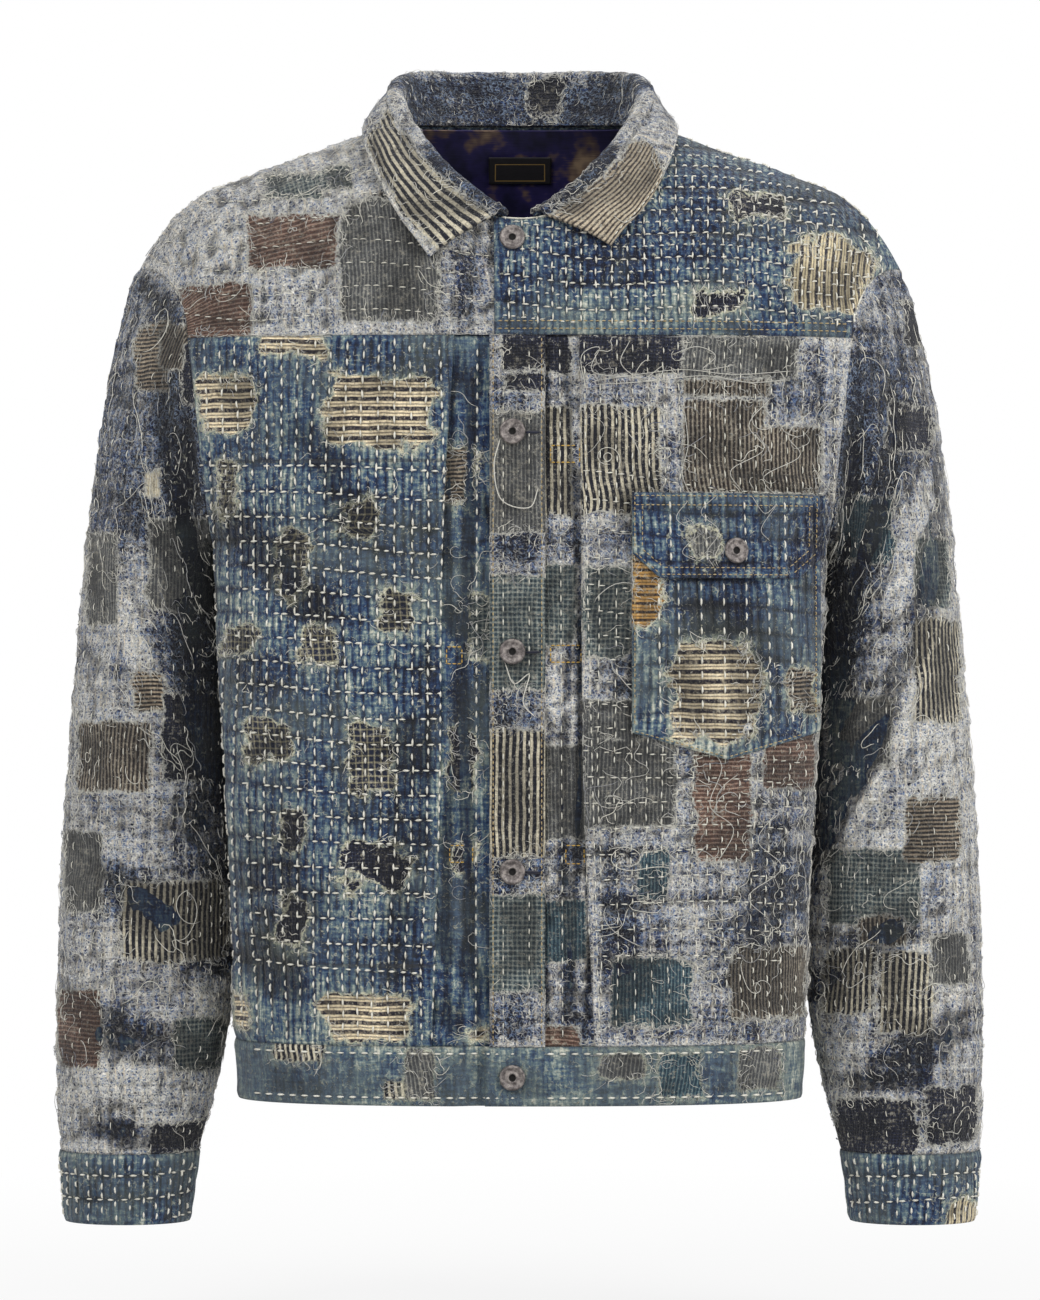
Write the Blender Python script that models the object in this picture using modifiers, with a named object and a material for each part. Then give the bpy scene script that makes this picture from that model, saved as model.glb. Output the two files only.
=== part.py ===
"""A patched boro work jacket, filled out as it is when worn: hollow, with open neck, hem, armholes and cuffs.

Every piece that a maker would cut is one closed wall of cloth. The sizes are in millimetres and MM brings
them to Blender's metres. +Z is up, the front faces -Y and +X is the wearer's left. The origin lies between
the two points where the shoulder seams meet the neck, which is where a wearer holds the jacket up.
"""

import bpy
import numpy as np
from mathutils import Vector

MM = 0.001

# ---------------------------------------------------------------- driving dimensions
HEM_Z = -643.0
WAIST_Z = -604.0
UNDERARM_Z = -276.0
YOKE_Z = -137.0
CLOTH = 2.5
SEAM = 0.4
FRONT_BEND = 2.5
BACK_BEND = 2.6

SHOULDER_X = 257.0
NECK_X = 80.0
RIDGE_TOP = 42.4
RIDGE_SLOPE = 0.36
RIDGE_CREST = 25.0
RIDGE_ROUND_X = 190.0
RIDGE_DROP = 1.213e-4
NECK_FRONT_Z = -60.0
NECK_BACK_Z = 14.0

FRONT, BACK = -1, 1
RIGHT, LEFT = -1, 1


def table(columns, rows):
    """Named columns of a short table, each as an array."""
    return dict(zip(columns.split(), np.array(rows, float).T))


# Cross-sections of the body. side_y is how far forward the widest point of the section lies.
BODY = table(
    "z half_width side_y front_y back_y",
    [
        (-643, 188.5, -20, -119, 103),
        (-604, 190.5, -21, -120, 105),
        (-525, 193.0, -24, -122, 107),
        (-440, 197.0, -25, -124, 110),
        (-355, 201.5, -24, -126, 112),
        (-276, 206.0, -10, -124, 110),
        (-200, 206.0, -6, -119, 104),
        (-137, 206.0, -5, -113, 96),
    ],
)

# The armhole's edge on the body, from the underarm up to the yoke.
ARMHOLE = table(
    "z x front_y back_y",
    [
        (-276, 206.0, -10, -10),
        (-269, 207.0, -33, 14),
        (-257, 208.5, -50, 33),
        (-236, 210.5, -63, 50),
        (-205, 213.5, -70, 60),
        (-170, 217.0, -72, 64),
        (-137, 221.0, -68, 62),
    ],
)

# Sleeve sections from the armhole to the wrist: outer and inner line, half depth, middle and how much of the
# armhole's own outline the section still holds.
SLEEVE = table(
    "outer_x outer_z inner_x inner_z half_depth mid_y hold",
    [
        (257.0, -88, 206.6, -275.4, 84, 0, 1.00),
        (263.0, -101, 209.0, -279.0, 82, 4, 0.86),
        (268.5, -119, 209.5, -286.0, 80, 9, 0.66),
        (275.0, -145, 208.0, -297.0, 77, 15, 0.42),
        (282.0, -180, 205.5, -314.0, 74, 20, 0.22),
        (289.5, -232, 201.5, -342.0, 71, 23, 0.08),
        (296.5, -300, 198.5, -385.0, 68, 25, 0.00),
        (303.5, -378, 195.5, -440.0, 65, 24, 0.00),
        (309.0, -460, 193.0, -505.0, 61, 20, 0.00),
        (312.0, -545, 194.0, -570.0, 56, 13, 0.00),
        (312.5, -618, 203.5, -630.0, 50, 5, 0.00),
        (310.0, -681, 216.5, -681.0, 44, 0, 0.00),
        (306.0, -728, 223.0, -728.0, 41, -3, 0.00),
    ],
)
WRIST_ROW = 11
CUFF_ROW = 12

# The largest folds of the sleeves, each a trough between two places given by turn and row.
SLEEVE_FOLDS = table(
    "side turn_a row_a turn_b row_b depth width",
    [
        (1, 0.10, 4.1, 0.37, 6.0, 6.0, 17),
        (1, 0.62, 7.0, 0.86, 8.2, 4.5, 15),
        (-1, 0.34, 3.2, 0.14, 6.2, 5.0, 17),
        (-1, 0.38, 7.4, 0.12, 8.2, 4.0, 15),
        (-1, 0.64, 6.8, 0.88, 8.0, 4.5, 15),
    ],
)

# Where the stitched-down pleat beside the placket ends and the front's main panel begins.
PLEAT_EDGE = table("z right_x left_x", [(-604, -58, 49), (-450, -53, 42), (-250, -50, 40), (-137, -43, 39)])
PLEAT_LAP = 12.0
PLACKET_X = (-20.0, 16.5)
PLACKET_PROUD = 1.2
PLACKET_THICK = 3.4
BAND_END_X = 5.0
# How far the pleats lie below the front's outside, and how much deeper the button band goes.
UNDER_LAYER = -2.9
BAND_SUNK = 2.2

# The collar, from the centre back (turn 0) round to its front end: the fold line, and the free edge, whose
# place on the shoulders is a distance from the middle and an angle over the shoulder (90 on the seam).
COLLAR = table(
    "turn fold_x fold_y fold_z edge_x edge_lean radius bulge",
    [
        (0, 0, 60, 49, 0, 128, 4.6, 9),
        (30, 43, 54, 48.5, 46, 122, 4.6, 8),
        (60, 73, 36, 46.5, 80, 112, 4.5, 5),
        (85, 84, 6, 38, 101, 97, 4.4, 2),
        (105, 82, -24, 21, 102, 66, 4.2, 4),
        (125, 71, -52, 1.5, 92, 45, 4.0, 8),
        (145, 49, -82, -26.5, 78, 31, 3.8, 9),
        (160, 28, -97, -44, 68, 24.5, 3.6, 9),
        (172, 12, -104, -55, 59, 19, 3.5, 9),
    ],
)
LEFT_LEAF_RAISED = 3.0
COLLAR_CLOTH = 2.8
COLLAR_CLEAR = 0.8
STAND_CLEAR = 1.2
NECK_MIDDLE = np.array([0.0, -15.0, 40.0])
NECK_STEP = 0.5

BUTTON_X = -5.0
BUTTON_SEATS = (("button_neck", -73.0), ("button_chest", -201.0), ("button_middle", -345.0),
                ("button_waist", -489.0), ("button_hem", -624.0))
BUTTON_RADIUS = 8.5

# Each material's colour, roughness and metallic value.
MATERIALS = {
    "denim": ((0.075, 0.120, 0.180), 0.9, 0.0),
    "gauze": ((0.190, 0.225, 0.290), 0.95, 0.0),
    "check": ((0.170, 0.185, 0.170), 0.9, 0.0),
    "lining": ((0.012, 0.014, 0.050), 0.7, 0.0),
    "label": ((0.010, 0.010, 0.012), 0.6, 0.0),
    "button_metal": ((0.260, 0.220, 0.210), 0.45, 0.9),
}


# ---------------------------------------------------------------- shape of the worn jacket
def follow(rows, column, at, along="z"):
    """A column's value part-way along a table, on a cubic through its rows."""
    knots, values = rows[along], rows[column]
    slopes = np.gradient(values, knots)
    at = np.clip(at, knots[0], knots[-1])
    low = np.clip(np.searchsorted(knots, at, side="right") - 1, 0, len(knots) - 2)
    gap = knots[low + 1] - knots[low]
    t = (at - knots[low]) / gap
    rise = values[low + 1] - values[low]
    bend = slopes[low] * gap - rise, rise - slopes[low + 1] * gap
    return values[low] + t * rise + t * (1 - t) * ((1 - t) * bend[0] + t * bend[1])


def section(face, z):
    """(half width, depth, side_y and angle of its outer end) of the front or back of the body at a height.

    Below the underarm the section ends at the side seam. Above it the armhole cuts the section off, and the
    half width is that of the full curve which passes through the armhole's edge.
    """
    bend = FRONT_BEND if face == FRONT else BACK_BEND
    side_y = follow(BODY, "side_y", z)
    depth = np.abs(follow(BODY, "front_y" if face == FRONT else "back_y", z) - side_y)
    end_x = np.where(z > UNDERARM_Z, follow(ARMHOLE, "x", z), follow(BODY, "half_width", z))
    edge_y = follow(ARMHOLE, "front_y" if face == FRONT else "back_y", z)
    reach = np.where(z > UNDERARM_Z, np.clip(np.abs(edge_y - side_y) / depth, 0, 0.95), 0.0)
    half_width = end_x / (1 - reach**bend) ** (1 / bend)
    return half_width, depth, side_y, np.arctan2(end_x / half_width, reach)


def on_section(face, across, z):
    """A point of the body's section: across runs from -1 to 1, by angle, between its two outer ends."""
    bend = FRONT_BEND if face == FRONT else BACK_BEND
    half_width, depth, side_y, end_angle = section(face, z)
    angle = across * end_angle
    size = (np.abs(np.sin(angle)) ** bend + np.abs(np.cos(angle)) ** bend) ** (-1 / bend)
    return half_width * size * np.sin(angle), side_y + face * depth * size * np.cos(angle)


def across_at(face, x, z):
    """How far across the section a point lies that is x from the middle."""
    bend = FRONT_BEND if face == FRONT else BACK_BEND
    half_width, _, _, end_angle = section(face, z)
    share = np.clip(np.abs(x) / half_width, 0, 1)
    return np.sign(x) * np.arctan2(share, (1 - share**bend) ** (1 / bend)) / end_angle


def ridge_z(x):
    """Height of the shoulder seam, which falls in a straight slope and then rounds over the upper arm.

    Inside the neck, where there is no seam, the slopes of the two shoulders meet in a round crest.
    """
    x = np.abs(x)
    slope = RIDGE_SLOPE * np.hypot(x, RIDGE_CREST)
    return RIDGE_TOP - slope - RIDGE_DROP * np.maximum(0, x - RIDGE_ROUND_X) ** 3


def dome(face, x_foot, lean):
    """A point of the chest or upper back: a quarter ellipse from the body's section at the yoke line, lean 0,
    up and over to the shoulder seam, lean 90 degrees."""
    z_foot = np.full_like(x_foot, YOKE_Z)
    _, y_foot = on_section(face, across_at(face, x_foot, z_foot), z_foot)
    share = x_foot / ARMHOLE["x"][-1]
    x_top = SHOULDER_X * share
    lean = np.radians(lean)
    x = x_foot + (x_top - x_foot) * (1 - np.cos(lean))
    return np.stack([x, y_foot * np.cos(lean), YOKE_Z + (ridge_z(x_top) - YOKE_Z) * np.sin(lean)], -1)


def neck_lean(face, x_foot):
    """The lean at which a column ends: at the shoulder seam or, inside NECK_X, at the neckline."""
    share = np.abs(x_foot) / ARMHOLE["x"][-1]
    start = NECK_FRONT_Z if face == FRONT else NECK_BACK_Z
    inside = np.clip(share * SHOULDER_X / NECK_X, 0, 1)
    neck_z = start + (ridge_z(NECK_X) - start) * (1 - np.sqrt(1 - inside**2))
    top_z = ridge_z(SHOULDER_X * share)
    rise = np.where(inside < 1, (neck_z - YOKE_Z) / (top_z - YOKE_Z), 1.0)
    return np.degrees(np.arcsin(np.clip(rise, 0, 1)))


def body(face, across, height):
    """The body's outside. height 0 is the hem, 1 the yoke line and 2 the shoulder seam or neckline."""
    across, height = np.broadcast_arrays(np.asarray(across, float), np.asarray(height, float))
    z = HEM_Z + (YOKE_Z - HEM_Z) * np.minimum(height, 1)
    x, y = on_section(face, across, z)
    upper = dome(face, x, np.clip(height - 1, 0, 1) * neck_lean(face, x))
    return np.where((height > 1)[..., None], upper, np.stack([x, y, z], -1))


def height_of(z):
    """The height, from 0 to 1, of a level below the yoke line."""
    return (z - HEM_Z) / (YOKE_Z - HEM_Z)


def height_on_dome(face, x_foot, z):
    """The height, from 1 to 2, at which a column above the yoke line reaches z."""
    top_z = ridge_z(SHOULDER_X * x_foot / ARMHOLE["x"][-1])
    return 1 + np.degrees(np.arcsin(np.maximum(0, z - YOKE_Z) / (top_z - YOKE_Z))) / neck_lean(face, x_foot)


def outward(surface, u, v, towards=1):
    """Unit normals of a surface from its slopes either side of each point."""
    step = 1e-4
    du = surface(u + step, v) - surface(u - step, v)
    dv = surface(u, v + step) - surface(u, v - step)
    normal = towards * np.cross(du, dv)
    return normal / np.linalg.norm(normal, axis=-1, keepdims=True)


def side_of_body(face):
    """The body's outside as a surface of across and height, with its normals."""

    def points(across, height):
        return body(face, across, height)

    def normals(across, height):
        below = np.clip(height, 0.002, 0.9995)
        above = np.clip(height, 1.0005, 1.9995)
        lower = outward(points, across, below, -face)
        upper = outward(points, across, above, -face)
        found = np.where((height > 1)[..., None], upper, lower)
        level = (np.abs(height - 1) < 1e-6) | (np.abs(height - height_of(WAIST_Z)) < 1e-6)
        found[..., 2] = np.where(level, 0.0, found[..., 2])
        on_seam = (height > 2 - 1e-6) & (np.abs(points(across, height)[..., 0]) > NECK_X + 1)
        found[..., 1] = np.where(on_seam, 0.0, found[..., 1])
        return found / np.linalg.norm(found, axis=-1, keepdims=True)

    return points, normals


def armhole_line(face, count=240):
    """The armhole's edge from the shoulder down to the underarm, as a function of the share of its length."""
    fine = np.concatenate([np.linspace(2, 1, count), height_of(np.linspace(YOKE_Z, UNDERARM_Z, count)[1:])])
    line = body(face, np.ones_like(fine), fine)
    run = np.concatenate([[0], np.cumsum(np.linalg.norm(np.diff(line, axis=0), axis=1))])
    return lambda share: np.stack([np.interp(share * run[-1], run, line[:, i]) for i in range(3)], -1)


# Rows up the body and columns along the yoke line that neighbouring pieces share, so that their seams match.
BODY_ROWS = np.array([-604, -530, -445, -360, -300, -276, -268, -257, -240, -212, -174, -137.0])
BODY_HEIGHTS = height_of(BODY_ROWS)
YOKE_HEIGHTS = 1 + np.array([0, 0.2, 0.42, 0.64, 0.84, 1.0])
YOKE_END = ARMHOLE["x"][-1]
NECK_FOOT = NECK_X * YOKE_END / SHOULDER_X
YOKE_FOOT = np.concatenate([[0, 9], np.array([0.3, 0.55, 0.78, 0.92, 1.0]) * NECK_FOOT,
                            NECK_FOOT + np.array([0.2, 0.4, 0.6, 0.78, 0.91, 1.0]) * (YOKE_END - NECK_FOOT)])

ARMHOLE_FRONT, ARMHOLE_BACK = armhole_line(FRONT), armhole_line(BACK)
SLEEVE["row"] = np.arange(len(SLEEVE["outer_x"]), dtype=float)


def armhole(turn):
    """The whole armhole: turn 0 is the shoulder, a quarter the front, a half the underarm."""
    turn = np.mod(turn, 1)
    share = 1 - np.abs(1 - 2 * turn)
    return np.where((turn < 0.5)[..., None], ARMHOLE_FRONT(share), ARMHOLE_BACK(share))


def oval(turn, row):
    """A sleeve section: an ellipse between the sleeve's outer and inner line."""
    outer = np.stack([follow(SLEEVE, c, row, "row") for c in ("outer_x", "mid_y", "outer_z")], -1)
    inner = np.stack([follow(SLEEVE, c, row, "row") for c in ("inner_x", "mid_y", "inner_z")], -1)
    angle = 2 * np.pi * turn
    depth = follow(SLEEVE, "half_depth", row, "row") * np.sin(angle)
    forward = np.stack([np.zeros_like(depth), -depth, np.zeros_like(depth)], -1)
    return (outer + inner) / 2 + (outer - inner) / 2 * np.cos(angle)[..., None] + forward


def sleeve(turn, row, side=0):
    """A sleeve's outside, drawn on the left. Near the body each section keeps some of the armhole's outline.

    side names whose folds sink into it, and 0 leaves it smooth.
    """
    turn, row = np.broadcast_arrays(np.asarray(turn, float), np.asarray(row, float))
    kept = follow(SLEEVE, "hold", row, "row")[..., None]
    found = oval(turn, row) + kept * (armhole(turn) - oval(turn, np.zeros_like(row)))
    inward = (oval(turn, row) + oval(turn + 0.5, row)) / 2 - found
    inward /= np.linalg.norm(inward, axis=-1, keepdims=True)
    sunk = np.zeros(turn.shape)
    for fold_side, *ends, depth, width in zip(*SLEEVE_FOLDS.values()):
        if fold_side == side:
            sunk = np.maximum(sunk, depth * np.exp(-((reach_from(found, *ends) / width) ** 2)))
    return found + inward * sunk[..., None]


def reach_from(points, turn_a, row_a, turn_b, row_b):
    """How far points are from the straight line between two places on the smooth sleeve."""
    start, end = (sleeve(turn, row) for turn, row in ((turn_a, row_a), (turn_b, row_b)))
    along = np.clip((points - start) @ (end - start) / ((end - start) @ (end - start)), 0, 1)
    return np.linalg.norm(points - start - along[..., None] * (end - start), axis=-1)


# ---------------------------------------------------------------- walls
def drawn_in(points, sides, by=SEAM / 2):
    """Moves the named edges of a grid towards their neighbours, so that pieces stay apart at a seam."""
    moved = points.copy()
    edges = {"first": (0, 1), "last": (-1, -2)}
    for axis, which in sides:
        edge, near = edges[which]
        grid = np.moveaxis(points, axis, 0)
        step = grid[near] - grid[edge]
        np.moveaxis(moved, axis, 0)[edge] += by * step / np.linalg.norm(step, axis=-1, keepdims=True)
    return moved


ALL_SIDES = ((0, "first"), (0, "last"), (1, "first"), (1, "last"))


def wall(name, material, points, normals, top, thick, sides=ALL_SIDES, closed=False):
    """A closed wall of cloth from a grid of points: its outside lies top above them, along the normals.

    The grid's first axis runs round the wall and closes on itself if closed is set.
    """
    points = drawn_in(points, sides)
    shape = points.shape[:2]
    top, thick = (np.broadcast_to(np.asarray(size, float), shape)[..., None] for size in (top, thick))
    outer = points + normals * top
    inner = points + normals * (top - thick)
    index = np.arange(2 * shape[0] * shape[1]).reshape(2, *shape)
    if closed:
        index = np.concatenate([index, index[:, :1]], 1)
    quads = []
    for layer, turned in ((0, False), (1, True)):
        i = index[layer]
        loop = np.stack([i[:-1, :-1], i[1:, :-1], i[1:, 1:], i[:-1, 1:]], -1).reshape(-1, 4)
        quads.append(loop[:, ::-1] if turned else loop)
    rims = [(index[:, :, 0], True), (index[:, :, -1], False)]
    if not closed:
        rims += [(index[:, 0], False), (index[:, -1], True)]
    for rim, turned in rims:
        loop = np.stack([rim[0, :-1], rim[0, 1:], rim[1, 1:], rim[1, :-1]], -1)
        quads.append(loop[:, ::-1] if turned else loop)
    vertices = np.concatenate([outer.reshape(-1, 3), inner.reshape(-1, 3)])
    return solid(name, material, vertices, np.concatenate(quads))


def solid(name, material, vertices, faces):
    """A mesh object whose faces are turned so that its volume is positive."""
    a, b, c, d = np.moveaxis(vertices[faces], 1, 0)
    if np.einsum("ij,ij->", a, np.cross(b, c) + np.cross(c, d)) < 0:
        faces = faces[:, ::-1]
    mesh = bpy.data.meshes.new(name)
    mesh.from_pydata((vertices * MM).tolist(), [], faces.tolist())
    mesh.update()
    mesh.shade_smooth()
    mesh.set_sharp_from_angle(angle=np.radians(40))
    obj = bpy.data.objects.new(name, mesh)
    obj.data.materials.append(bpy.data.materials[material])
    PIECES.objects.link(obj)
    return obj


def body_wall(name, material, face, across, height, top=0.0, thick=CLOTH, sides=ALL_SIDES, edge=None):
    """A wall on the body. across and height are grids; edge replaces the normals along the armhole."""
    points, normals = side_of_body(face)
    found = normals(across, height)
    if edge is not None:
        edge(found)
    return wall(name, material, points(across, height), found, top, thick, sides)


def spread(start, end, count):
    """Columns between two edges that may each change from row to row."""
    share = np.linspace(0, 1, count)[:, None]
    return start + (end - start) * share


def step_down(x, start, end):
    """0 before start, 1 after end, with an even curve between."""
    t = np.clip((x - start) / (end - start), 0, 1)
    return t * t * (3 - 2 * t)


def mirrored(points):
    """The same points on the other side of the wearer."""
    return points * np.array([-1.0, 1.0, 1.0])


# ---------------------------------------------------------------- seam between body and sleeve
def sleeve_normals(turn, row, side=0):
    """Unit normals of a sleeve, level where the cuff joins it."""

    def surface(at_turn, at_row):
        return sleeve(at_turn, at_row, side)

    found = outward(surface, turn, np.clip(row, 0.01, CUFF_ROW - 0.01))
    level = np.abs(row - WRIST_ROW) < 1e-6
    found[..., 2] = np.where(level, 0.0, found[..., 2])
    return found / np.linalg.norm(found, axis=-1, keepdims=True)


def mitre(own, other):
    """Where two walls meet almost flat they share one normal, and where the seam folds each keeps its own."""
    shared = own + other
    shared /= np.maximum(np.linalg.norm(shared, axis=-1, keepdims=True), 1e-6)
    flat = np.einsum("...i,...i->...", own, other)[..., None] > 0.35
    return np.where(flat, shared, own)


def body_normals_at(turn):
    """The body's normals along the left armhole, at the same turns as the sleeve's first section."""
    place = armhole(turn)
    found = np.zeros_like(place)
    for face, half in ((FRONT, turn < 0.5), (BACK, turn >= 0.5)):
        below = height_of(np.linspace(YOKE_Z, UNDERARM_Z, 200)[1:])
        heights = np.concatenate([np.linspace(2, 1, 200), below])
        line = body(face, np.ones_like(heights), heights)
        nearest = np.argmin(np.linalg.norm(place[:, None] - line[None], axis=-1), axis=1)
        near = side_of_body(face)[1](np.full(len(turn), 0.9999), heights[nearest])
        found[half] = near[half]
    return found


def sleeve_normals_at(points):
    """The sleeve's normals where its first section passes nearest to these points of the body's edge."""
    turn = np.linspace(0, 1, 721)
    line = armhole(turn)
    nearest = np.argmin(np.linalg.norm(points[:, None] - line[None], axis=-1), axis=1)
    return sleeve_normals(turn[nearest], np.full(len(points), 0.02))


def mitred_edge(face, side, column, heights):
    """An edit of a wall's normals along its armhole column, for heights above the underarm."""
    open_rows = heights > height_of(UNDERARM_Z) + 1e-6

    def edit(found):
        points = body(face, np.ones_like(heights), heights)
        other = sleeve_normals_at(points)
        own = mirrored(found[column]) if side == RIGHT else found[column]
        joined = np.where(open_rows[:, None], mitre(own, other), own)
        found[column] = mirrored(joined) if side == RIGHT else joined

    return edit


def panel_grid(side, shares, rows):
    """Across and height over a front panel: share 0 is its edge at the pleat, 1 its side seam or armhole."""
    start = across_at(FRONT, follow(PLEAT_EDGE, "right_x" if side == RIGHT else "left_x", rows), rows)
    across = start + (side - start) * np.broadcast_to(shares, (np.shape(rows)[-1], len(shares))).T
    return across, np.broadcast_to(height_of(rows), across.shape)


# ---------------------------------------------------------------- scene set-up
def cleared_scene():
    """Removes what the scene holds and adds the jacket's own collection."""
    for obj in list(bpy.data.objects):
        bpy.data.objects.remove(obj)
    found = bpy.data.collections.new("boro_jacket")
    bpy.context.scene.collection.children.link(found)
    return found


def make_materials():
    """One Principled material for each row of MATERIALS."""
    for name, (colour, roughness, metallic) in MATERIALS.items():
        material = bpy.data.materials.new(name)
        material.use_nodes = True
        shader = material.node_tree.nodes["Principled BSDF"]
        shader.inputs["Base Color"].default_value = (*colour, 1)
        shader.inputs["Roughness"].default_value = roughness
        shader.inputs["Metallic"].default_value = metallic
        material.diffuse_color = (*colour, 1)


PIECES = cleared_scene()
make_materials()

# ---------------------------------------------------------------- front panels, from pleat to side seam
for side, word in ((RIGHT, "right"), (LEFT, "left")):
    across, height = panel_grid(side, np.linspace(0, 1, 15), BODY_ROWS)
    body_wall(f"front_panel_{word}", "denim" if side == RIGHT else "gauze", FRONT, across, height,
              edge=mitred_edge(FRONT, side, -1, BODY_HEIGHTS))

# ---------------------------------------------------------------- pleats, button band and placket
BAND_ROWS = np.linspace(WAIST_Z, YOKE_Z, 9)
BAND_HEIGHTS = height_of(BAND_ROWS)


def strip(name, material, start_x, end_x, columns, top, thick=CLOTH):
    """A strip down the front between two lines, its top given as a function of x and of both lines."""
    x = spread(np.broadcast_to(start_x, BAND_ROWS.shape), np.broadcast_to(end_x, BAND_ROWS.shape), columns)
    z = np.broadcast_to(BAND_ROWS, x.shape)
    return body_wall(name, material, FRONT, across_at(FRONT, x, z), height_of(z), top(x), thick)


right_pleat_x = follow(PLEAT_EDGE, "right_x", BAND_ROWS)
left_pleat_x = follow(PLEAT_EDGE, "left_x", BAND_ROWS)
strip("pleat_and_button_band_right", "denim", right_pleat_x - PLEAT_LAP, BAND_END_X, 8,
      lambda x: UNDER_LAYER - BAND_SUNK * step_down(x, -36, -28))
strip("pleat_left", "gauze", BAND_END_X + 1.5, left_pleat_x + PLEAT_LAP, 6, lambda x: UNDER_LAYER)
strip("placket_left", "check", *PLACKET_X, 5, lambda x: PLACKET_PROUD, PLACKET_THICK)

# ---------------------------------------------------------------- yokes
# Columns of each yoke that pass the middle: the left one laps over the right one, which sinks beneath it.
YOKE_LAP = (-17.0, -9.0, 0.0)
YOKE_UNDER = (4.0, 0.0, -9.0)
YOKE_SUNK = 3.1


def yoke(name, material, side, inner, top):
    """One side's yoke, from the front edge to the armhole, in columns set out along the yoke line."""
    foot = np.concatenate([inner, side * YOKE_FOOT[2 if side == RIGHT else 1:]])
    across = np.repeat(across_at(FRONT, foot, np.full_like(foot, YOKE_Z))[:, None], len(YOKE_HEIGHTS), 1)
    tops = top(foot)[:, None] + np.zeros(across.shape)
    body_wall(name, material, FRONT, across, np.broadcast_to(YOKE_HEIGHTS, across.shape), tops,
              edge=mitred_edge(FRONT, side, -1, YOKE_HEIGHTS))


yoke("yoke_right", "gauze", RIGHT, YOKE_UNDER, lambda x: -YOKE_SUNK * step_down(x, -46, -19))
yoke("yoke_left", "denim", LEFT, YOKE_LAP, lambda x: 0.0 * x)

# ---------------------------------------------------------------- back, in one piece up to the shoulder seams
BACK_HEIGHTS = np.concatenate([BODY_HEIGHTS, YOKE_HEIGHTS[1:]])
BACK_FOOT = np.concatenate([-YOKE_FOOT[:1:-1], YOKE_FOOT[:1], YOKE_FOOT[2:]])
BACK_ACROSS = across_at(BACK, BACK_FOOT, np.full_like(BACK_FOOT, YOKE_Z))
across, height = np.meshgrid(BACK_ACROSS, BACK_HEIGHTS, indexing="ij")


def both_armholes(found):
    """Edits the back's normals along its last column and its first, the left and the right armhole."""
    mitred_edge(BACK, LEFT, -1, BACK_HEIGHTS)(found)
    mitred_edge(BACK, RIGHT, 0, BACK_HEIGHTS)(found)


body_wall("back", "gauze", BACK, across, height, edge=both_armholes)

# ---------------------------------------------------------------- sleeves and cuffs
def armhole_turns(face):
    """The turn of each of the body's rows on the armhole's edge, from the shoulder to the underarm."""
    heights = np.concatenate([YOKE_HEIGHTS[::-1], BODY_HEIGHTS[BODY_ROWS >= UNDERARM_Z][-2::-1]])
    line = body(face, np.ones_like(heights), heights)
    shares = np.linspace(0, 1, 4001)
    places = (ARMHOLE_FRONT if face == FRONT else ARMHOLE_BACK)(shares)
    return np.array([shares[np.argmin(np.linalg.norm(places - point, axis=1))] / 2 for point in line])


TURNS = np.concatenate([armhole_turns(FRONT), 1 - armhole_turns(BACK)[-2:0:-1]])
SLEEVE_ROWS = np.array([0, 1, 2, 3, 4, 4.5, 5, 5.5, 6, 6.5, 7, 7.5, 8, 9, 10, 11.0])
CUFF_ROWS = np.array([11, 11.5, 12.0])
CUFF_THICK = 4.0
CUFF_PROUD = 1.0


def tube(name, material, side, rows, top, thick, joined=False):
    """A stretch of sleeve: a wall closed round the arm and open at both ends."""
    turn, row = np.meshgrid(TURNS, rows, indexing="ij")
    points, normals = sleeve(turn, row, side), sleeve_normals(turn, row, side)
    if joined:
        normals[:, 0] = mitre(normals[:, 0], body_normals_at(TURNS))
    if side == RIGHT:
        points, normals = mirrored(points), mirrored(normals)
    wall(name, material, points, normals, top, thick, ((1, "first"), (1, "last")), closed=True)


for side, word in ((RIGHT, "right"), (LEFT, "left")):
    tube(f"sleeve_{word}", "gauze", side, SLEEVE_ROWS, 0.0, CLOTH, joined=True)
    tube(f"cuff_{word}", "denim", side, CUFF_ROWS, CUFF_PROUD, CUFF_THICK)

# ---------------------------------------------------------------- waistband, one strip with its ends lapped
BAND_THICK = 4.2
BAND_PROUD = 0.8
WAIST_LEFT_END_X = -23.0
WAIST_RIGHT_END_X = 8.0
WAIST_HEIGHTS = height_of(np.array([HEM_Z, (HEM_Z + WAIST_Z) / 2, WAIST_Z]))


def waistband():
    """Runs from its left end, on top at the front, round the back to its right end, tucked underneath."""
    left_end = across_at(FRONT, WAIST_LEFT_END_X, HEM_Z)
    right_end = across_at(FRONT, WAIST_RIGHT_END_X, HEM_Z)
    front_left = np.linspace(left_end, 1, 11)
    back = np.linspace(1, -1, 19)[1:-1]
    front_right = np.concatenate([np.linspace(-1, -0.26, 8), np.linspace(-0.2, right_end, 6)])
    stretches = ((FRONT, front_left), (BACK, back), (FRONT, front_right))
    grids, slopes, tops = [], [], []
    for number, (face, across) in enumerate(stretches):
        points, normals = side_of_body(face)
        across, height = np.meshgrid(across, WAIST_HEIGHTS, indexing="ij")
        grids.append(points(across, height))
        slopes.append(normals(across, height))
        tucked = step_down(grids[-1][..., 0], -46, -27) if number == 2 else np.zeros(across.shape)
        tops.append(BAND_PROUD - (BAND_THICK + 0.5) * tucked)
    points, normals, tops = (np.concatenate(part) for part in (grids, slopes, tops))
    wall("waistband", "denim", points, normals, tops, BAND_THICK)


waistband()


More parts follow.
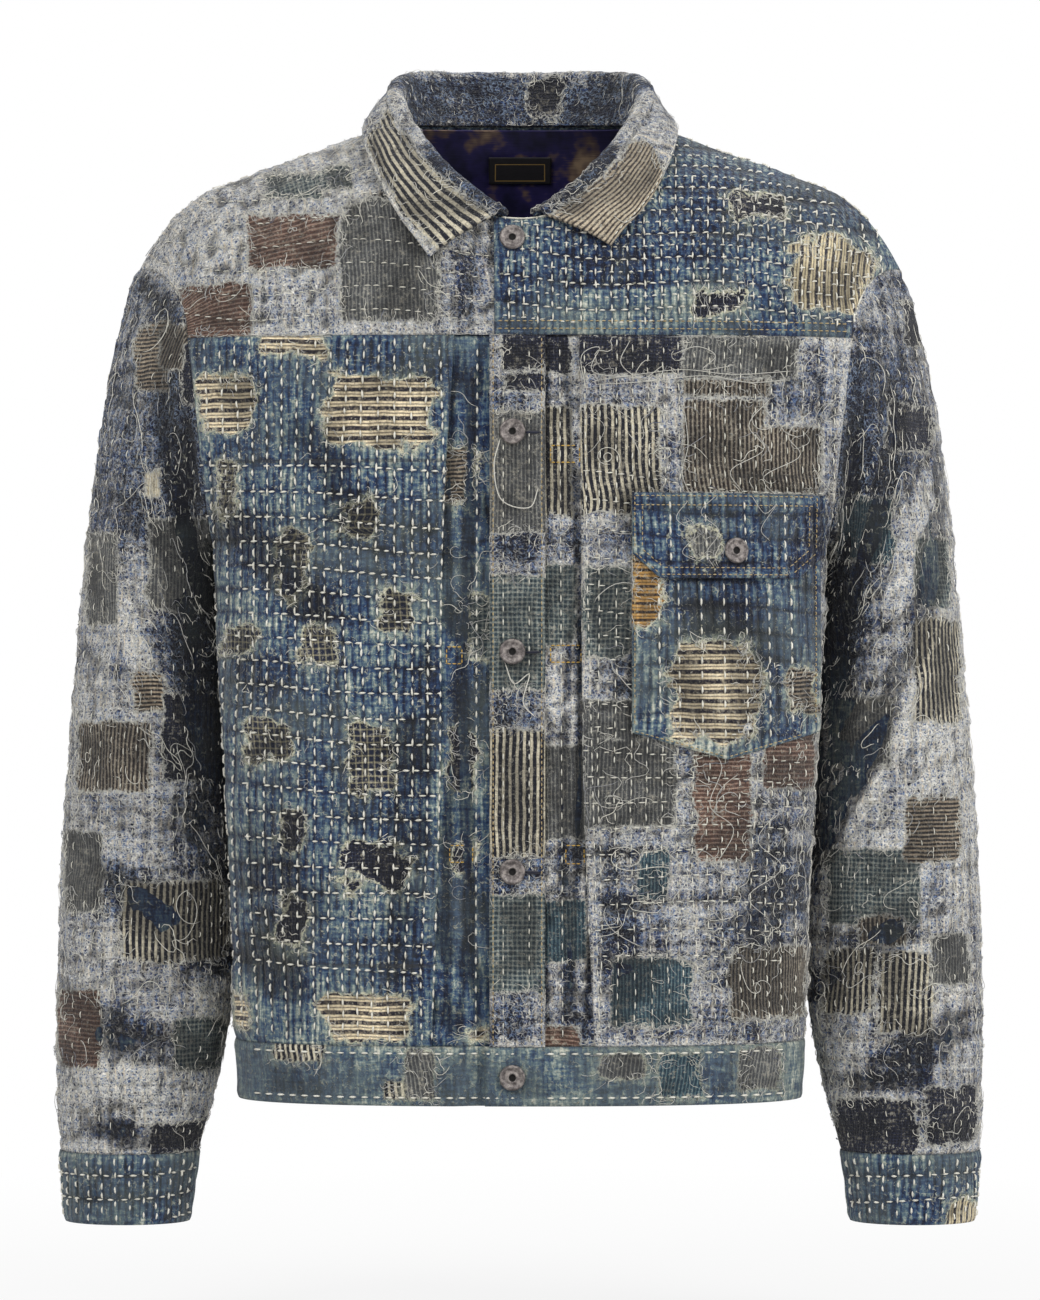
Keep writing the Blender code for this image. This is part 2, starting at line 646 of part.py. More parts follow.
# ---------------------------------------------------------------- collar: stand, fold and fall in one piece
def neckline(turn):
    """Where the stand starts on the neckline: turn 0 is the centre back, 90 the shoulder seam, 180 the front.

    The stand starts just past the body's cut edge, and as far under its outside as the collar is thick.
    """
    face = BACK if abs(turn) <= 90 else FRONT

    def edge(at, back_down=0.0):
        foot = np.array([NECK_FOOT * np.sin(np.radians(at))])
        return dome(face, foot, np.minimum(neck_lean(face, foot), 89.5) - back_down)[0]

    here = edge(turn)
    to_middle = -NECK_STEP if face == BACK else NECK_STEP
    along = edge(turn + to_middle * np.sign(turn) if turn else NECK_STEP) - here
    rise = np.cross(along, here - edge(turn, NECK_STEP))
    rise *= np.sign(rise[2] + face * rise[1]) / np.linalg.norm(rise)
    away = np.cross(rise, along)
    away *= np.sign(away @ (NECK_MIDDLE - here)) / np.linalg.norm(away)
    return here + away * STAND_CLEAR - rise * (COLLAR_CLOTH + SEAM)


def over_shoulder(x, lean):
    """A point and normal of the chest, shoulder or back, by its distance from the middle and its lean."""
    face = FRONT if lean <= 90 else BACK
    flat_lean = lean if face == FRONT else 180 - lean
    spread_out = ARMHOLE["x"][-1] + (SHOULDER_X - ARMHOLE["x"][-1]) * (1 - np.cos(np.radians(flat_lean)))
    foot = x / spread_out * ARMHOLE["x"][-1]

    def place(a, b):
        return dome(face, np.atleast_1d(a), np.atleast_1d(b))[0]

    normal = np.cross(place(foot + 0.1, flat_lean) - place(foot - 0.1, flat_lean),
                      place(foot, flat_lean + 0.1) - place(foot, flat_lean - 0.1)) * -face
    return place(foot, flat_lean), normal / np.linalg.norm(normal)


FALL_SHARES = (0.28, 0.62, 1.0)


def collar_profile(turn):
    """Points from the neck seam up the stand, over the fold and down the fall, on the side that lies hidden.

    The stand and the fall each start a fold's radius below the fold's top, on either side of it.
    """
    side = np.sign(turn) if turn else 1.0
    at = abs(turn)
    fold = np.array([side * follow(COLLAR, "fold_x", at, "turn"), follow(COLLAR, "fold_y", at, "turn"),
                     follow(COLLAR, "fold_z", at, "turn")])
    radius = follow(COLLAR, "radius", at, "turn")
    lean = follow(COLLAR, "edge_lean", at, "turn") + LEFT_LEAF_RAISED * step_down(turn, 120, 165)
    edge, rise = over_shoulder(side * follow(COLLAR, "edge_x", at, "turn"), lean)
    edge = edge + rise * (COLLAR_CLEAR + COLLAR_CLOTH)
    base = neckline(turn)
    out = edge - base
    out[2] = 0
    out /= np.linalg.norm(out)
    up = np.array([0, 0, 1.0])
    inner_start = fold - out * radius - up * radius * 0.9
    outer_start = fold + out * radius - up * radius * 0.9
    near_in = fold - out * radius * 0.72 - up * radius * 0.26
    near_out = fold + out * radius * 0.72 - up * radius * 0.26
    middle = (base + inner_start) / 2
    bulge = (rise + out) * follow(COLLAR, "bulge", at, "turn")
    fall = [outer_start + (edge - outer_start) * share + bulge * share * (1 - share) for share in FALL_SHARES]
    return [base, middle, inner_start, near_in, fold, near_out, outer_start, *fall]


HALF_TURNS = np.array([0, 20, 40, 58, 74, 90, 106, 122, 139, 156, 172.0])
COLLAR_TURNS = np.concatenate([-HALF_TURNS[:0:-1], HALF_TURNS])
profiles = np.array([collar_profile(turn) for turn in COLLAR_TURNS])
along, down = np.gradient(profiles, axis=0), np.gradient(profiles, axis=1)
hidden_side = np.cross(down, along)
hidden_side /= np.linalg.norm(hidden_side, axis=-1, keepdims=True)
wall("collar", "gauze", profiles, hidden_side, 0.0, COLLAR_CLOTH, sides=())


# ---------------------------------------------------------------- chest pocket and its flap
POCKET_X = np.array([73, 90, 107, 123, 138, 152, 165, 176, 185, 192, 198.0])
POCKET_TOP_Z = -246.0
POCKET_SIDE_Z = -398.0
POCKET_POINT_Z = -416.0
POCKET_CLOTH = 2.0
FLAP_TOP_Z = -241.0
FLAP_SIDE_Z = -281.0
FLAP_LOW_Z = -297.0
FLAP_CORNER = 0.14
LAY_CLEAR = 1.0


def lay_on_left_front(name, top_z, low_z, top, thick):
    """A pocket or flap on the left front, over the panel's own rows, down to its lower edge low_z."""
    between = BODY_ROWS[(BODY_ROWS > low_z.max() + 3) & (BODY_ROWS < top_z)]
    rows = np.broadcast_to(np.append(between, top_z), (len(POCKET_X), len(between) + 1))
    z = np.concatenate([low_z[:, None], rows], 1)
    across = across_at(FRONT, POCKET_X[:, None], z)
    body_wall(name, "denim", FRONT, across, height_of(z), top, thick, sides=())


towards_middle = 1 - np.abs(2 * (POCKET_X - POCKET_X[0]) / np.ptp(POCKET_X) - 1)
pocket_low_z = POCKET_SIDE_Z + (POCKET_POINT_Z - POCKET_SIDE_Z) * towards_middle
flap_low_z = FLAP_SIDE_Z + (FLAP_LOW_Z - FLAP_SIDE_Z) * np.minimum(1, towards_middle / (2 * FLAP_CORNER))
FLAP_LIFT = 2 * LAY_CLEAR + POCKET_CLOTH + CLOTH
lay_on_left_front("pocket", POCKET_TOP_Z, pocket_low_z, LAY_CLEAR + POCKET_CLOTH, POCKET_CLOTH)
lay_on_left_front("pocket_flap", FLAP_TOP_Z, flap_low_z, FLAP_LIFT, CLOTH)

# ---------------------------------------------------------------- back neck lining and its plain label
LINING_X = 150.0
LINING_THICK = 1.0
LINING_CLEAR = 2.2
across, height = np.meshgrid(BACK_ACROSS[np.abs(BACK_FOOT) < LINING_X], YOKE_HEIGHTS, indexing="ij")
body_wall("neck_lining", "lining", BACK, across, height, -CLOTH - LINING_CLEAR, LINING_THICK)

LABEL_Z = (-21.0, -3.0)
LABEL_THICK = 0.8
LABEL_HALF_SHARE = 0.31
here = np.abs(BACK_FOOT) < LABEL_HALF_SHARE * NECK_FOOT
height = height_on_dome(BACK, BACK_FOOT[here][:, None], np.array(LABEL_Z))
across = np.broadcast_to(BACK_ACROSS[here][:, None], height.shape)
label_top = -CLOTH - LINING_CLEAR - LINING_THICK - LAY_CLEAR
body_wall("neck_label", "label", BACK, across, height, label_top, LABEL_THICK)

# ---------------------------------------------------------------- tack buttons
# Half profile of a turned tack button, from the middle of its sunk face over the rim and under to its foot.
BUTTON_PROFILE = ((0.0, 1.5), (2.1, 1.5), (2.6, 3.0), (6.6, 3.1), (8.2, 2.4), (BUTTON_RADIUS, 1.5),
                  (7.8, 0.7), (3.4, 0.5), (3.4, 0.0), (0.0, 0.0))
BUTTON_STEPS = 16
BUTTON_CLEAR = 0.3


def button(name, seat, normal):
    """A profile turned about the button's own axis, its foot on the seat."""
    mesh = bpy.data.meshes.new(name)
    points = [(r * MM, 0, h * MM) for r, h in BUTTON_PROFILE]
    mesh.from_pydata(points, [(i, i + 1) for i in range(len(points) - 1)], [])
    obj = bpy.data.objects.new(name, mesh)
    PIECES.objects.link(obj)
    obj.data.materials.append(bpy.data.materials["button_metal"])
    screw = obj.modifiers.new("turned", "SCREW")
    screw.axis = "Z"
    screw.steps = screw.render_steps = BUTTON_STEPS
    screw.use_merge_vertices = True
    screw.merge_threshold = 0.00005
    obj.location = Vector(seat) * MM
    obj.rotation_mode = "QUATERNION"
    obj.rotation_quaternion = Vector(normal).to_track_quat("Z", "Y")
    return obj


def seat_on_front(x, z, top):
    """The point and normal on which a button stands, above the front at x and z."""
    points, normals = side_of_body(FRONT)
    x, z = np.array([x]), np.array([z])
    across = across_at(FRONT, x, np.minimum(z, YOKE_Z))
    height = np.where(z > YOKE_Z, height_on_dome(FRONT, x, z), height_of(z))
    normal = normals(across, height)[0]
    return points(across, height)[0] + normal * (top + BUTTON_CLEAR), normal


SEAT_TOPS = {"button_neck": 0.0, "button_hem": BAND_PROUD}
for name, z in BUTTON_SEATS:
    button(name, *seat_on_front(BUTTON_X, z, SEAT_TOPS.get(name, PLACKET_PROUD)))
FLAP_BUTTON_X = 139.0
FLAP_BUTTON_Z = -279.0
button("button_pocket", *seat_on_front(FLAP_BUTTON_X, FLAP_BUTTON_Z, FLAP_LIFT))
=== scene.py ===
"""A patched boro work jacket, filled out as it is when worn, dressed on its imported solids.

Sizes are in millimetres and MM brings them to Blender's metres. +Z is up, the front faces -Y and +X is the
wearer's left. Each piece of cloth is a thin shell on its solid's form, with its patches, stitches and frays.
"""

import bpy
import numpy as np
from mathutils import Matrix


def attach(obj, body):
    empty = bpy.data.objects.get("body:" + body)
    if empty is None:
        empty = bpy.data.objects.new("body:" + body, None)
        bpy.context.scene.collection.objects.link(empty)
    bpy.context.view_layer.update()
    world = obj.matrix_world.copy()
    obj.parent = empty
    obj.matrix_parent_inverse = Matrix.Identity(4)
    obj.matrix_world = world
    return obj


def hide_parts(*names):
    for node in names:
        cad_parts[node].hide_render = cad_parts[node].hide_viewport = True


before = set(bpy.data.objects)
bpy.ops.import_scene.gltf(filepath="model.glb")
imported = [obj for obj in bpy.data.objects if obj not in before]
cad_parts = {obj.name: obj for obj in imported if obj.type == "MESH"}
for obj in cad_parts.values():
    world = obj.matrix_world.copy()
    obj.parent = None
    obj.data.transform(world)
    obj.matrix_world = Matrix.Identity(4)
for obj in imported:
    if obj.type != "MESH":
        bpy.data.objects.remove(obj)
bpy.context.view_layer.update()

MM = 0.001

# ============================================================================== front panels
# Two cotton fronts run from a stitched-down pleat to the side seam: hand-quilted indigo denim on the wearer's
# right, frayed gauze over older cloths on the left. Torn places show striped ticking and dark twill beneath,
# and rows of thick cream running stitch hold the layers together.

# ---------------------------------------------------------------- the form of the body
HEM_Z = -643.0
WAIST_Z = -604.0
UNDERARM_Z = -276.0
YOKE_Z = -137.0
YOKE_X = 221.0
SHOULDER_X = 257.0
NECK_X = 80.0
CLOTH = 2.5
FRONT, BACK = -1, 1
RIGHT, LEFT = -1, 1
BEND = {FRONT: 2.5, BACK: 2.6}
NECK_Z = {FRONT: -60.0, BACK: 14.0}
RIDGE_TOP, RIDGE_SLOPE, RIDGE_CREST = 42.4, 0.36, 25.0
RIDGE_ROUND_X, RIDGE_DROP = 190.0, 1.213e-4


def table(columns, rows):
    """Named columns of a short table, each as an array."""
    return dict(zip(columns.split(), np.array(rows, float).T))


# Cross-sections of the body. side_y is how far forward the widest point of the section lies.
BODY = table("z half_width side_y front_y back_y", [
    (HEM_Z, 188.5, -20, -119, 103), (WAIST_Z, 190.5, -21, -120, 105), (-525, 193.0, -24, -122, 107),
    (-440, 197.0, -25, -124, 110), (-355, 201.5, -24, -126, 112), (UNDERARM_Z, 206.0, -10, -124, 110),
    (-200, 206.0, -6, -119, 104), (YOKE_Z, 206.0, -5, -113, 96)])
# The armhole's edge on the body, from the underarm up to the yoke.
ARMHOLE = table("z x front_y back_y", [
    (UNDERARM_Z, 206.0, -10, -10), (-269, 207.0, -33, 14), (-257, 208.5, -50, 33), (-236, 210.5, -63, 50),
    (-205, 213.5, -70, 60), (-170, 217.0, -72, 64), (YOKE_Z, YOKE_X, -68, 62)])
PLEAT_EDGE = table("z right_x left_x", [
    (WAIST_Z, -58, 49), (-450, -53, 42), (-250, -50, 40), (YOKE_Z, -43, 39)])


def follow(rows, column, at, along="z"):
    """A column's value part-way along a table, on a cubic through its rows."""
    knots, values = rows[along], rows[column]
    slopes = np.gradient(values, knots)
    at = np.clip(at, knots[0], knots[-1])
    low = np.clip(np.searchsorted(knots, at, side="right") - 1, 0, len(knots) - 2)
    gap = knots[low + 1] - knots[low]
    t = (at - knots[low]) / gap
    rise = values[low + 1] - values[low]
    bend = slopes[low] * gap - rise, rise - slopes[low + 1] * gap
    return values[low] + t * rise + t * (1 - t) * ((1 - t) * bend[0] + t * bend[1])


def section(face, z):
    """Half width, depth, side_y and end angle of the front or back at a height: a superellipse that the side
    seam or, above the underarm, the armhole cuts off."""
    bend, far_y = BEND[face], "front_y" if face == FRONT else "back_y"
    side_y = follow(BODY, "side_y", z)
    depth = np.abs(follow(BODY, far_y, z) - side_y)
    end_x = np.where(z > UNDERARM_Z, follow(ARMHOLE, "x", z), follow(BODY, "half_width", z))
    edge_y = follow(ARMHOLE, far_y, z)
    reach = np.where(z > UNDERARM_Z, np.clip(np.abs(edge_y - side_y) / depth, 0, 0.95), 0.0)
    half_width = end_x / (1 - reach**bend) ** (1 / bend)
    return half_width, depth, side_y, np.arctan2(end_x / half_width, reach), bend


def on_section(face, across, z):
    """A point of the section by angle: across runs from -1 to 1 between its two outer ends."""
    half_width, depth, side_y, end_angle, bend = section(face, z)
    angle = across * end_angle
    size = (np.abs(np.sin(angle)) ** bend + np.abs(np.cos(angle)) ** bend) ** (-1 / bend)
    return half_width * size * np.sin(angle), side_y + face * depth * size * np.cos(angle)


def across_at(face, x, z):
    """How far across the section a point lies that is x from the middle."""
    half_width, _, _, end_angle, bend = section(face, z)
    share = np.clip(np.abs(x) / half_width, 0, 1)
    return np.sign(x) * np.arctan2(share, (1 - share**bend) ** (1 / bend)) / end_angle


def ridge_z(x):
    """Height of the shoulder seam: a straight slope, round at the neck, that falls away over the arm."""
    fall = RIDGE_DROP * np.maximum(0, np.abs(x) - RIDGE_ROUND_X) ** 3
    return RIDGE_TOP - RIDGE_SLOPE * np.hypot(x, RIDGE_CREST) - fall


def dome(face, x_foot, lean):
    """A quarter ellipse from the section at the yoke line (lean 0) up and over to the shoulder seam (90)."""
    z_foot = np.full_like(x_foot, YOKE_Z)
    _, y_foot = on_section(face, across_at(face, x_foot, z_foot), z_foot)
    x_top = SHOULDER_X * x_foot / YOKE_X
    lean = np.radians(lean)
    x = x_foot + (x_top - x_foot) * (1 - np.cos(lean))
    return np.stack([x, y_foot * np.cos(lean), YOKE_Z + (ridge_z(x_top) - YOKE_Z) * np.sin(lean)], -1)


def neck_lean(face, x_foot):
    """The lean at which a column ends: the shoulder seam, or the neckline's quarter ellipse inside NECK_X."""
    share = np.abs(x_foot) / YOKE_X
    inside = np.clip(share * SHOULDER_X / NECK_X, 0, 1)
    neck_z = NECK_Z[face] + (ridge_z(NECK_X) - NECK_Z[face]) * (1 - np.sqrt(1 - inside**2))
    rise = np.where(inside < 1, (neck_z - YOKE_Z) / (ridge_z(SHOULDER_X * share) - YOKE_Z), 1.0)
    return np.degrees(np.arcsin(np.clip(rise, 0, 1)))


def body(face, across, height):
    """The body's outside. height 0 is the hem, 1 the yoke line and 2 the shoulder seam or neckline."""
    across, height = np.broadcast_arrays(np.asarray(across, float), np.asarray(height, float))
    z = HEM_Z + (YOKE_Z - HEM_Z) * np.minimum(height, 1)
    x, y = on_section(face, across, z)
    upper = dome(face, x, np.clip(height - 1, 0, 1) * neck_lean(face, x))
    return np.where((height > 1)[..., None], upper, np.stack([x, y, z], -1))


def height_of(z):
    """The height, from 0 to 1, of a place between the hem and the yoke line."""
    return (z - HEM_Z) / (YOKE_Z - HEM_Z)


# ---------------------------------------------------------------- how any piece of cloth is made
QUILT_X, QUILT_Z = 10.4, 16.4
QUILT_SWAY_X, QUILT_SWAY_Z, QUILT_SLANT = 2.6, 4.0, 0.05
QUILT_WAVE_X, QUILT_WAVE_Z = 150, 190
QUILT_FADE, QUILT_INSET = 8.0, 3.0
PUFF = 1.35
FAR_FROM_PATCHES = 60.0


def marks(length, step=2.3, rim=(0.35, 1.0, 1.8)):
    """Shares of a length from 0 to 1, an odd number of them, closer together at both ends."""
    count = 2 * int(max(1, round((length - 2 * rim[-1]) / step / 2))) + 1
    middle = np.linspace(rim[-1], length - rim[-1], count)
    places = np.concatenate([[0], rim[:-1], middle, length - np.array(rim[-2::-1]), [length]])
    return places / length


def ripple(x, z, size, seed, waves=9):
    """Soft unevenness between about -1 and 1: a sum of plane waves about `size` long in seeded directions."""
    draw = np.random.default_rng(seed)
    turn, phase = draw.uniform(0, 2 * np.pi, (2, waves))
    length = size * draw.uniform(0.7, 1.5, waves)
    total = 0.0
    for t, p, reach in zip(turn, phase, length):
        total = total + np.sin(2 * np.pi * (x * np.cos(t) + z * np.sin(t)) / reach + p)
    return total / np.sqrt(waves)


def ease(value, start, end):
    """0 before start, 1 after end, with an even curve between."""
    t = np.clip((value - start) / (end - start), 0, 1)
    return t * t * (3 - 2 * t)


def bell(value, middle, width):
    """1 at the middle and falling to nothing on both sides: a Gaussian."""
    return np.exp(-(((value - middle) / width) ** 2))


def unit(vectors):
    """Vectors of length 1 in the same directions."""
    return vectors / np.maximum(np.linalg.norm(vectors, axis=-1, keepdims=True), 1e-9)


def run_along(points, axis):
    """Length along a grid of points in one direction, from its first row."""
    step = np.linalg.norm(np.diff(points, axis=axis), axis=-1)
    return np.concatenate([np.zeros_like(np.take(step, [0], axis)), np.cumsum(step, axis=axis)], axis)


def patch_edges(x, z, patches, seed):
    """For each kind of patch the signed distance to its nearest edge, negative inside: rectangles with round
    corners whose outline wanders by their tear."""
    edges = {}
    for number, (kind, left, right, low, high, tear) in enumerate(patches):
        corner = min(0.4, 0.12 * tear) * min(right - left, high - low)
        dx = np.abs(x - (left + right) / 2) - (right - left) / 2 + corner
        dz = np.abs(z - (low + high) / 2) - (high - low) / 2 + corner
        reach = np.hypot(np.maximum(dx, 0), np.maximum(dz, 0)) + np.minimum(np.maximum(dx, dz), 0) - corner
        reach = reach + 1.5 * tear * ripple(x, z, 26, seed + number)
        reach = reach + 0.8 * tear * ripple(x, z, 9, seed + 70 + number)
        edges[kind] = np.minimum(edges.get(kind, FAR_FROM_PATCHES), reach)
    return edges


def creased(x, z, creases):
    """Soft troughs and ridges: each row is a line from one place to another, a depth (minus for a ridge) and
    a width, and it fades towards both of its ends."""
    sunk = np.zeros(np.shape(x))
    for x0, z0, x1, z1, depth, width in creases:
        dx, dz = x1 - x0, z1 - z0
        share = ((x - x0) * dx + (z - z0) * dz) / (dx * dx + dz * dz)
        at = np.clip(share, 0, 1)
        bow = 0.12 * np.hypot(dx, dz) * at * (1 - at)
        away = np.hypot(x - x0 - at * dx, z - z0 - at * dz) - bow * np.sign(depth)
        fade = np.sin(np.pi * np.clip(share, 0.03, 0.97)) ** 0.6
        sunk = sunk + depth * np.exp(-(away / width) ** 2) * fade
    return sunk


def quilt_lines(x, z, seed):
    """Counts of quilting lines passed across and up, wandering a little: a whole number lies on a line."""
    return ((x + QUILT_SWAY_X * ripple(x, z, QUILT_WAVE_X, seed)) / QUILT_X,
            (z + QUILT_SLANT * x + QUILT_SWAY_Z * ripple(x, z, QUILT_WAVE_Z, seed + 1)) / QUILT_Z)


def quilt_relief(x, z, seed, rows, free):
    """How far the cells between the stitch lines puff out, less on a patch, and the counts of those lines.
    rows are the two heights between which the level lines run, or None for all of them."""
    across, up = quilt_lines(x, z, seed)
    kept = np.ones(x.shape)
    if rows:
        kept = ease(z, rows[0], rows[0] + QUILT_FADE) * ease(-z, -rows[1], QUILT_FADE - rows[1])
    cell_x, cell_z = np.abs(np.sin(np.pi * across)), np.abs(np.sin(np.pi * up)) * kept + 1 - kept
    puff = PUFF * (np.sqrt(cell_x * cell_z + 0.02) - 0.6) * (0.35 + 0.65 * free)
    return puff, {"quilt_across": across, "quilt_up": np.where(kept > 0.5, up, 0.5)}


class Cloth:
    """A finished piece's outer grid, so that stitches and threads can be laid on it, and a list of those."""

    def __init__(self, piece, outer, normals, edge, rows):
        self.piece, self.outer, self.normals, self.edge, self.rows = piece, outer, normals, edge, rows
        self.step = [np.linalg.norm(np.diff(outer, axis=k), axis=-1).mean() for k in (0, 1)]
        self.extras = []

    def on_grid(self, a, b):
        """Grid places kept inside the grid."""
        return [np.clip(at, 0, size - 1.001) for at, size in zip((a, b), self.outer.shape)]

    def at(self, a, b):
        """Point and normal at grid places a, b, which may lie between the grid's own rows and columns."""
        a, b = self.on_grid(a, b)
        i, j = a.astype(int), b.astype(int)
        s, t = (a - i)[..., None], (b - j)[..., None]

        def mixed(grid):
            low = grid[i, j] * (1 - s) + grid[i + 1, j] * s
            return low * (1 - t) + (grid[i, j + 1] * (1 - s) + grid[i + 1, j + 1] * s) * t

        return mixed(self.outer), unit(mixed(self.normals))

    def find(self, x, z, face=None):
        """Grid places of points given by x and z: the nearest of every fourth point, then three steps of
        Newton's rule. On a piece with rows of its own, x and z are lengths along its own cut instead."""
        x, z = np.broadcast_arrays(np.asarray(x, float), np.asarray(z, float))
        columns, rows = self.outer.shape[:2]
        if self.rows is not None:
            return x / self.step[0] + columns // 2, np.interp(z, self.rows, np.arange(len(self.rows)))
        shape, x, z = x.shape, x.ravel(), z.ravel()
        i, j = np.meshgrid(np.arange(1, columns, 4), np.arange(1, rows, 4), indexing="ij")
        i, j = i.ravel(), j.ravel()
        if face is not None:
            seen = self.normals[i, j, 1] * face > 0.02
            i, j = i[seen], j[seen]
        seeds = self.outer[i, j]
        a, b = np.zeros(len(x)), np.zeros(len(x))
        for part in np.array_split(np.arange(len(x)), 1 + len(x) // 1500):
            near = np.argmin((x[part, None] - seeds[:, 0]) ** 2 + (z[part, None] - seeds[:, 2]) ** 2, 1)
            a[part], b[part] = i[near], j[near]
        for _ in range(3):
            here = self.at(a, b)[0]
            da = (self.at(a + 0.5, b)[0] - self.at(a - 0.5, b)[0])[:, [0, 2]]
            db = (self.at(a, b + 0.5)[0] - self.at(a, b - 0.5)[0])[:, [0, 2]]
            miss = np.stack([x, z], -1) - here[:, [0, 2]]
            det = da[:, 0] * db[:, 1] - da[:, 1] * db[:, 0]
            det = np.where(np.abs(det) < 0.3, 0.3 * np.sign(det) + 1e-9, det)
            a = a + np.clip((miss[:, 0] * db[:, 1] - miss[:, 1] * db[:, 0]) / det, -4, 4)
            b = b + np.clip((da[:, 0] * miss[:, 1] - da[:, 1] * miss[:, 0]) / det, -4, 4)
            a, b = self.on_grid(a, b)
        return a.reshape(shape), b.reshape(shape)


def grid_faces(outer, inner, turned):
    """Quads over a fine outer grid of numbers and a coarse inner one, and rims of five-sided faces that join
    two fine steps to one coarse step. A grid whose last column is its first needs no rims there."""
    def quads(grid, flip):
        loop = np.stack([grid[:-1, :-1], grid[1:, :-1], grid[1:, 1:], grid[:-1, 1:]], -1).reshape(-1, 4)
        return loop[:, ::-1] if flip else loop

    def rim(fine, coarse, flip):
        loop = np.stack([fine[:-2:2], fine[1:-1:2], fine[2::2], coarse[1:], coarse[:-1]], -1)
        return loop[:, ::-1] if flip else loop

    faces = [quads(outer, turned), quads(inner, not turned)]
    rims = [rim(outer[:, 0], inner[:, 0], not turned), rim(outer[:, -1], inner[:, -1], turned)]
    if outer[0, 1] != outer[-1, 1]:
        rims += [rim(outer[0], inner[0], turned), rim(outer[-1], inner[-1], not turned)]
    return faces, np.concatenate(rims)


def made_mesh(name, vertices, faces, materials):
    """A new smooth piece from points in millimetres and lists of faces."""
    mesh = bpy.data.meshes.new(name)
    mesh.from_pydata((vertices * MM).tolist(), [], faces)
    mesh.shade_smooth()
    for material in materials:
        mesh.materials.append(material)
    obj = bpy.data.objects.new(name, mesh)
    bpy.context.scene.collection.objects.link(obj)
    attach(obj, "root")
    return obj


def hold(obj, name, values):
    """Gives a mesh a named value at each of its points."""
    field = obj.data.attributes.new(name, "FLOAT", "POINT")
    field.data.foreach_set("value", values.astype(np.float32))


def shell(name, outer, inner, chart, fields, turned, closed, materials):
    """The closed mesh of a fine outer and a coarse inner grid, with the UV map `cut` and each field's value
    at each point. Where the grid is closed its last column is its first one again, and is left out."""
    kept = outer.shape[0] - closed, inner.shape[0] - closed
    grids = []
    for columns in ((len(outer), len(inner)), kept):
        fine = np.arange(columns[0] * outer.shape[1]).reshape(columns[0], -1)
        coarse = np.arange(columns[1] * inner.shape[1]).reshape(columns[1], -1) + fine.size
        grids.append((fine, coarse))
    charts, chart_rims = grid_faces(*grids[0], turned)
    faces, rims = grid_faces(*(np.concatenate([grid, grid[:int(closed)]]) for grid in grids[1]), turned)
    vertices = np.concatenate([outer[:kept[0]].reshape(-1, 3), inner[:kept[1]].reshape(-1, 3)])
    obj = made_mesh(name, vertices, sum([part.tolist() for part in (*faces, rims)], []), materials)
    side = np.repeat([0, 1, 0], [len(faces[0]), len(faces[1]), len(rims)])
    obj.data.polygons.foreach_set("material_index", side.astype(np.int32))
    chart = np.concatenate([chart.reshape(-1, 2), chart[::2, ::2].reshape(-1, 2)])
    corners = np.concatenate([part.ravel() for part in (*charts, chart_rims[:len(rims)])])
    layer = obj.data.uv_layers.new(name="cut")
    layer.data.foreach_set("uv", chart[corners].astype(np.float32).ravel())
    for field, values in fields.items():
        hold(obj, field, np.concatenate([values[:kept[0]].ravel(), values[::2, ::2][:kept[1]].ravel()]))
    return obj


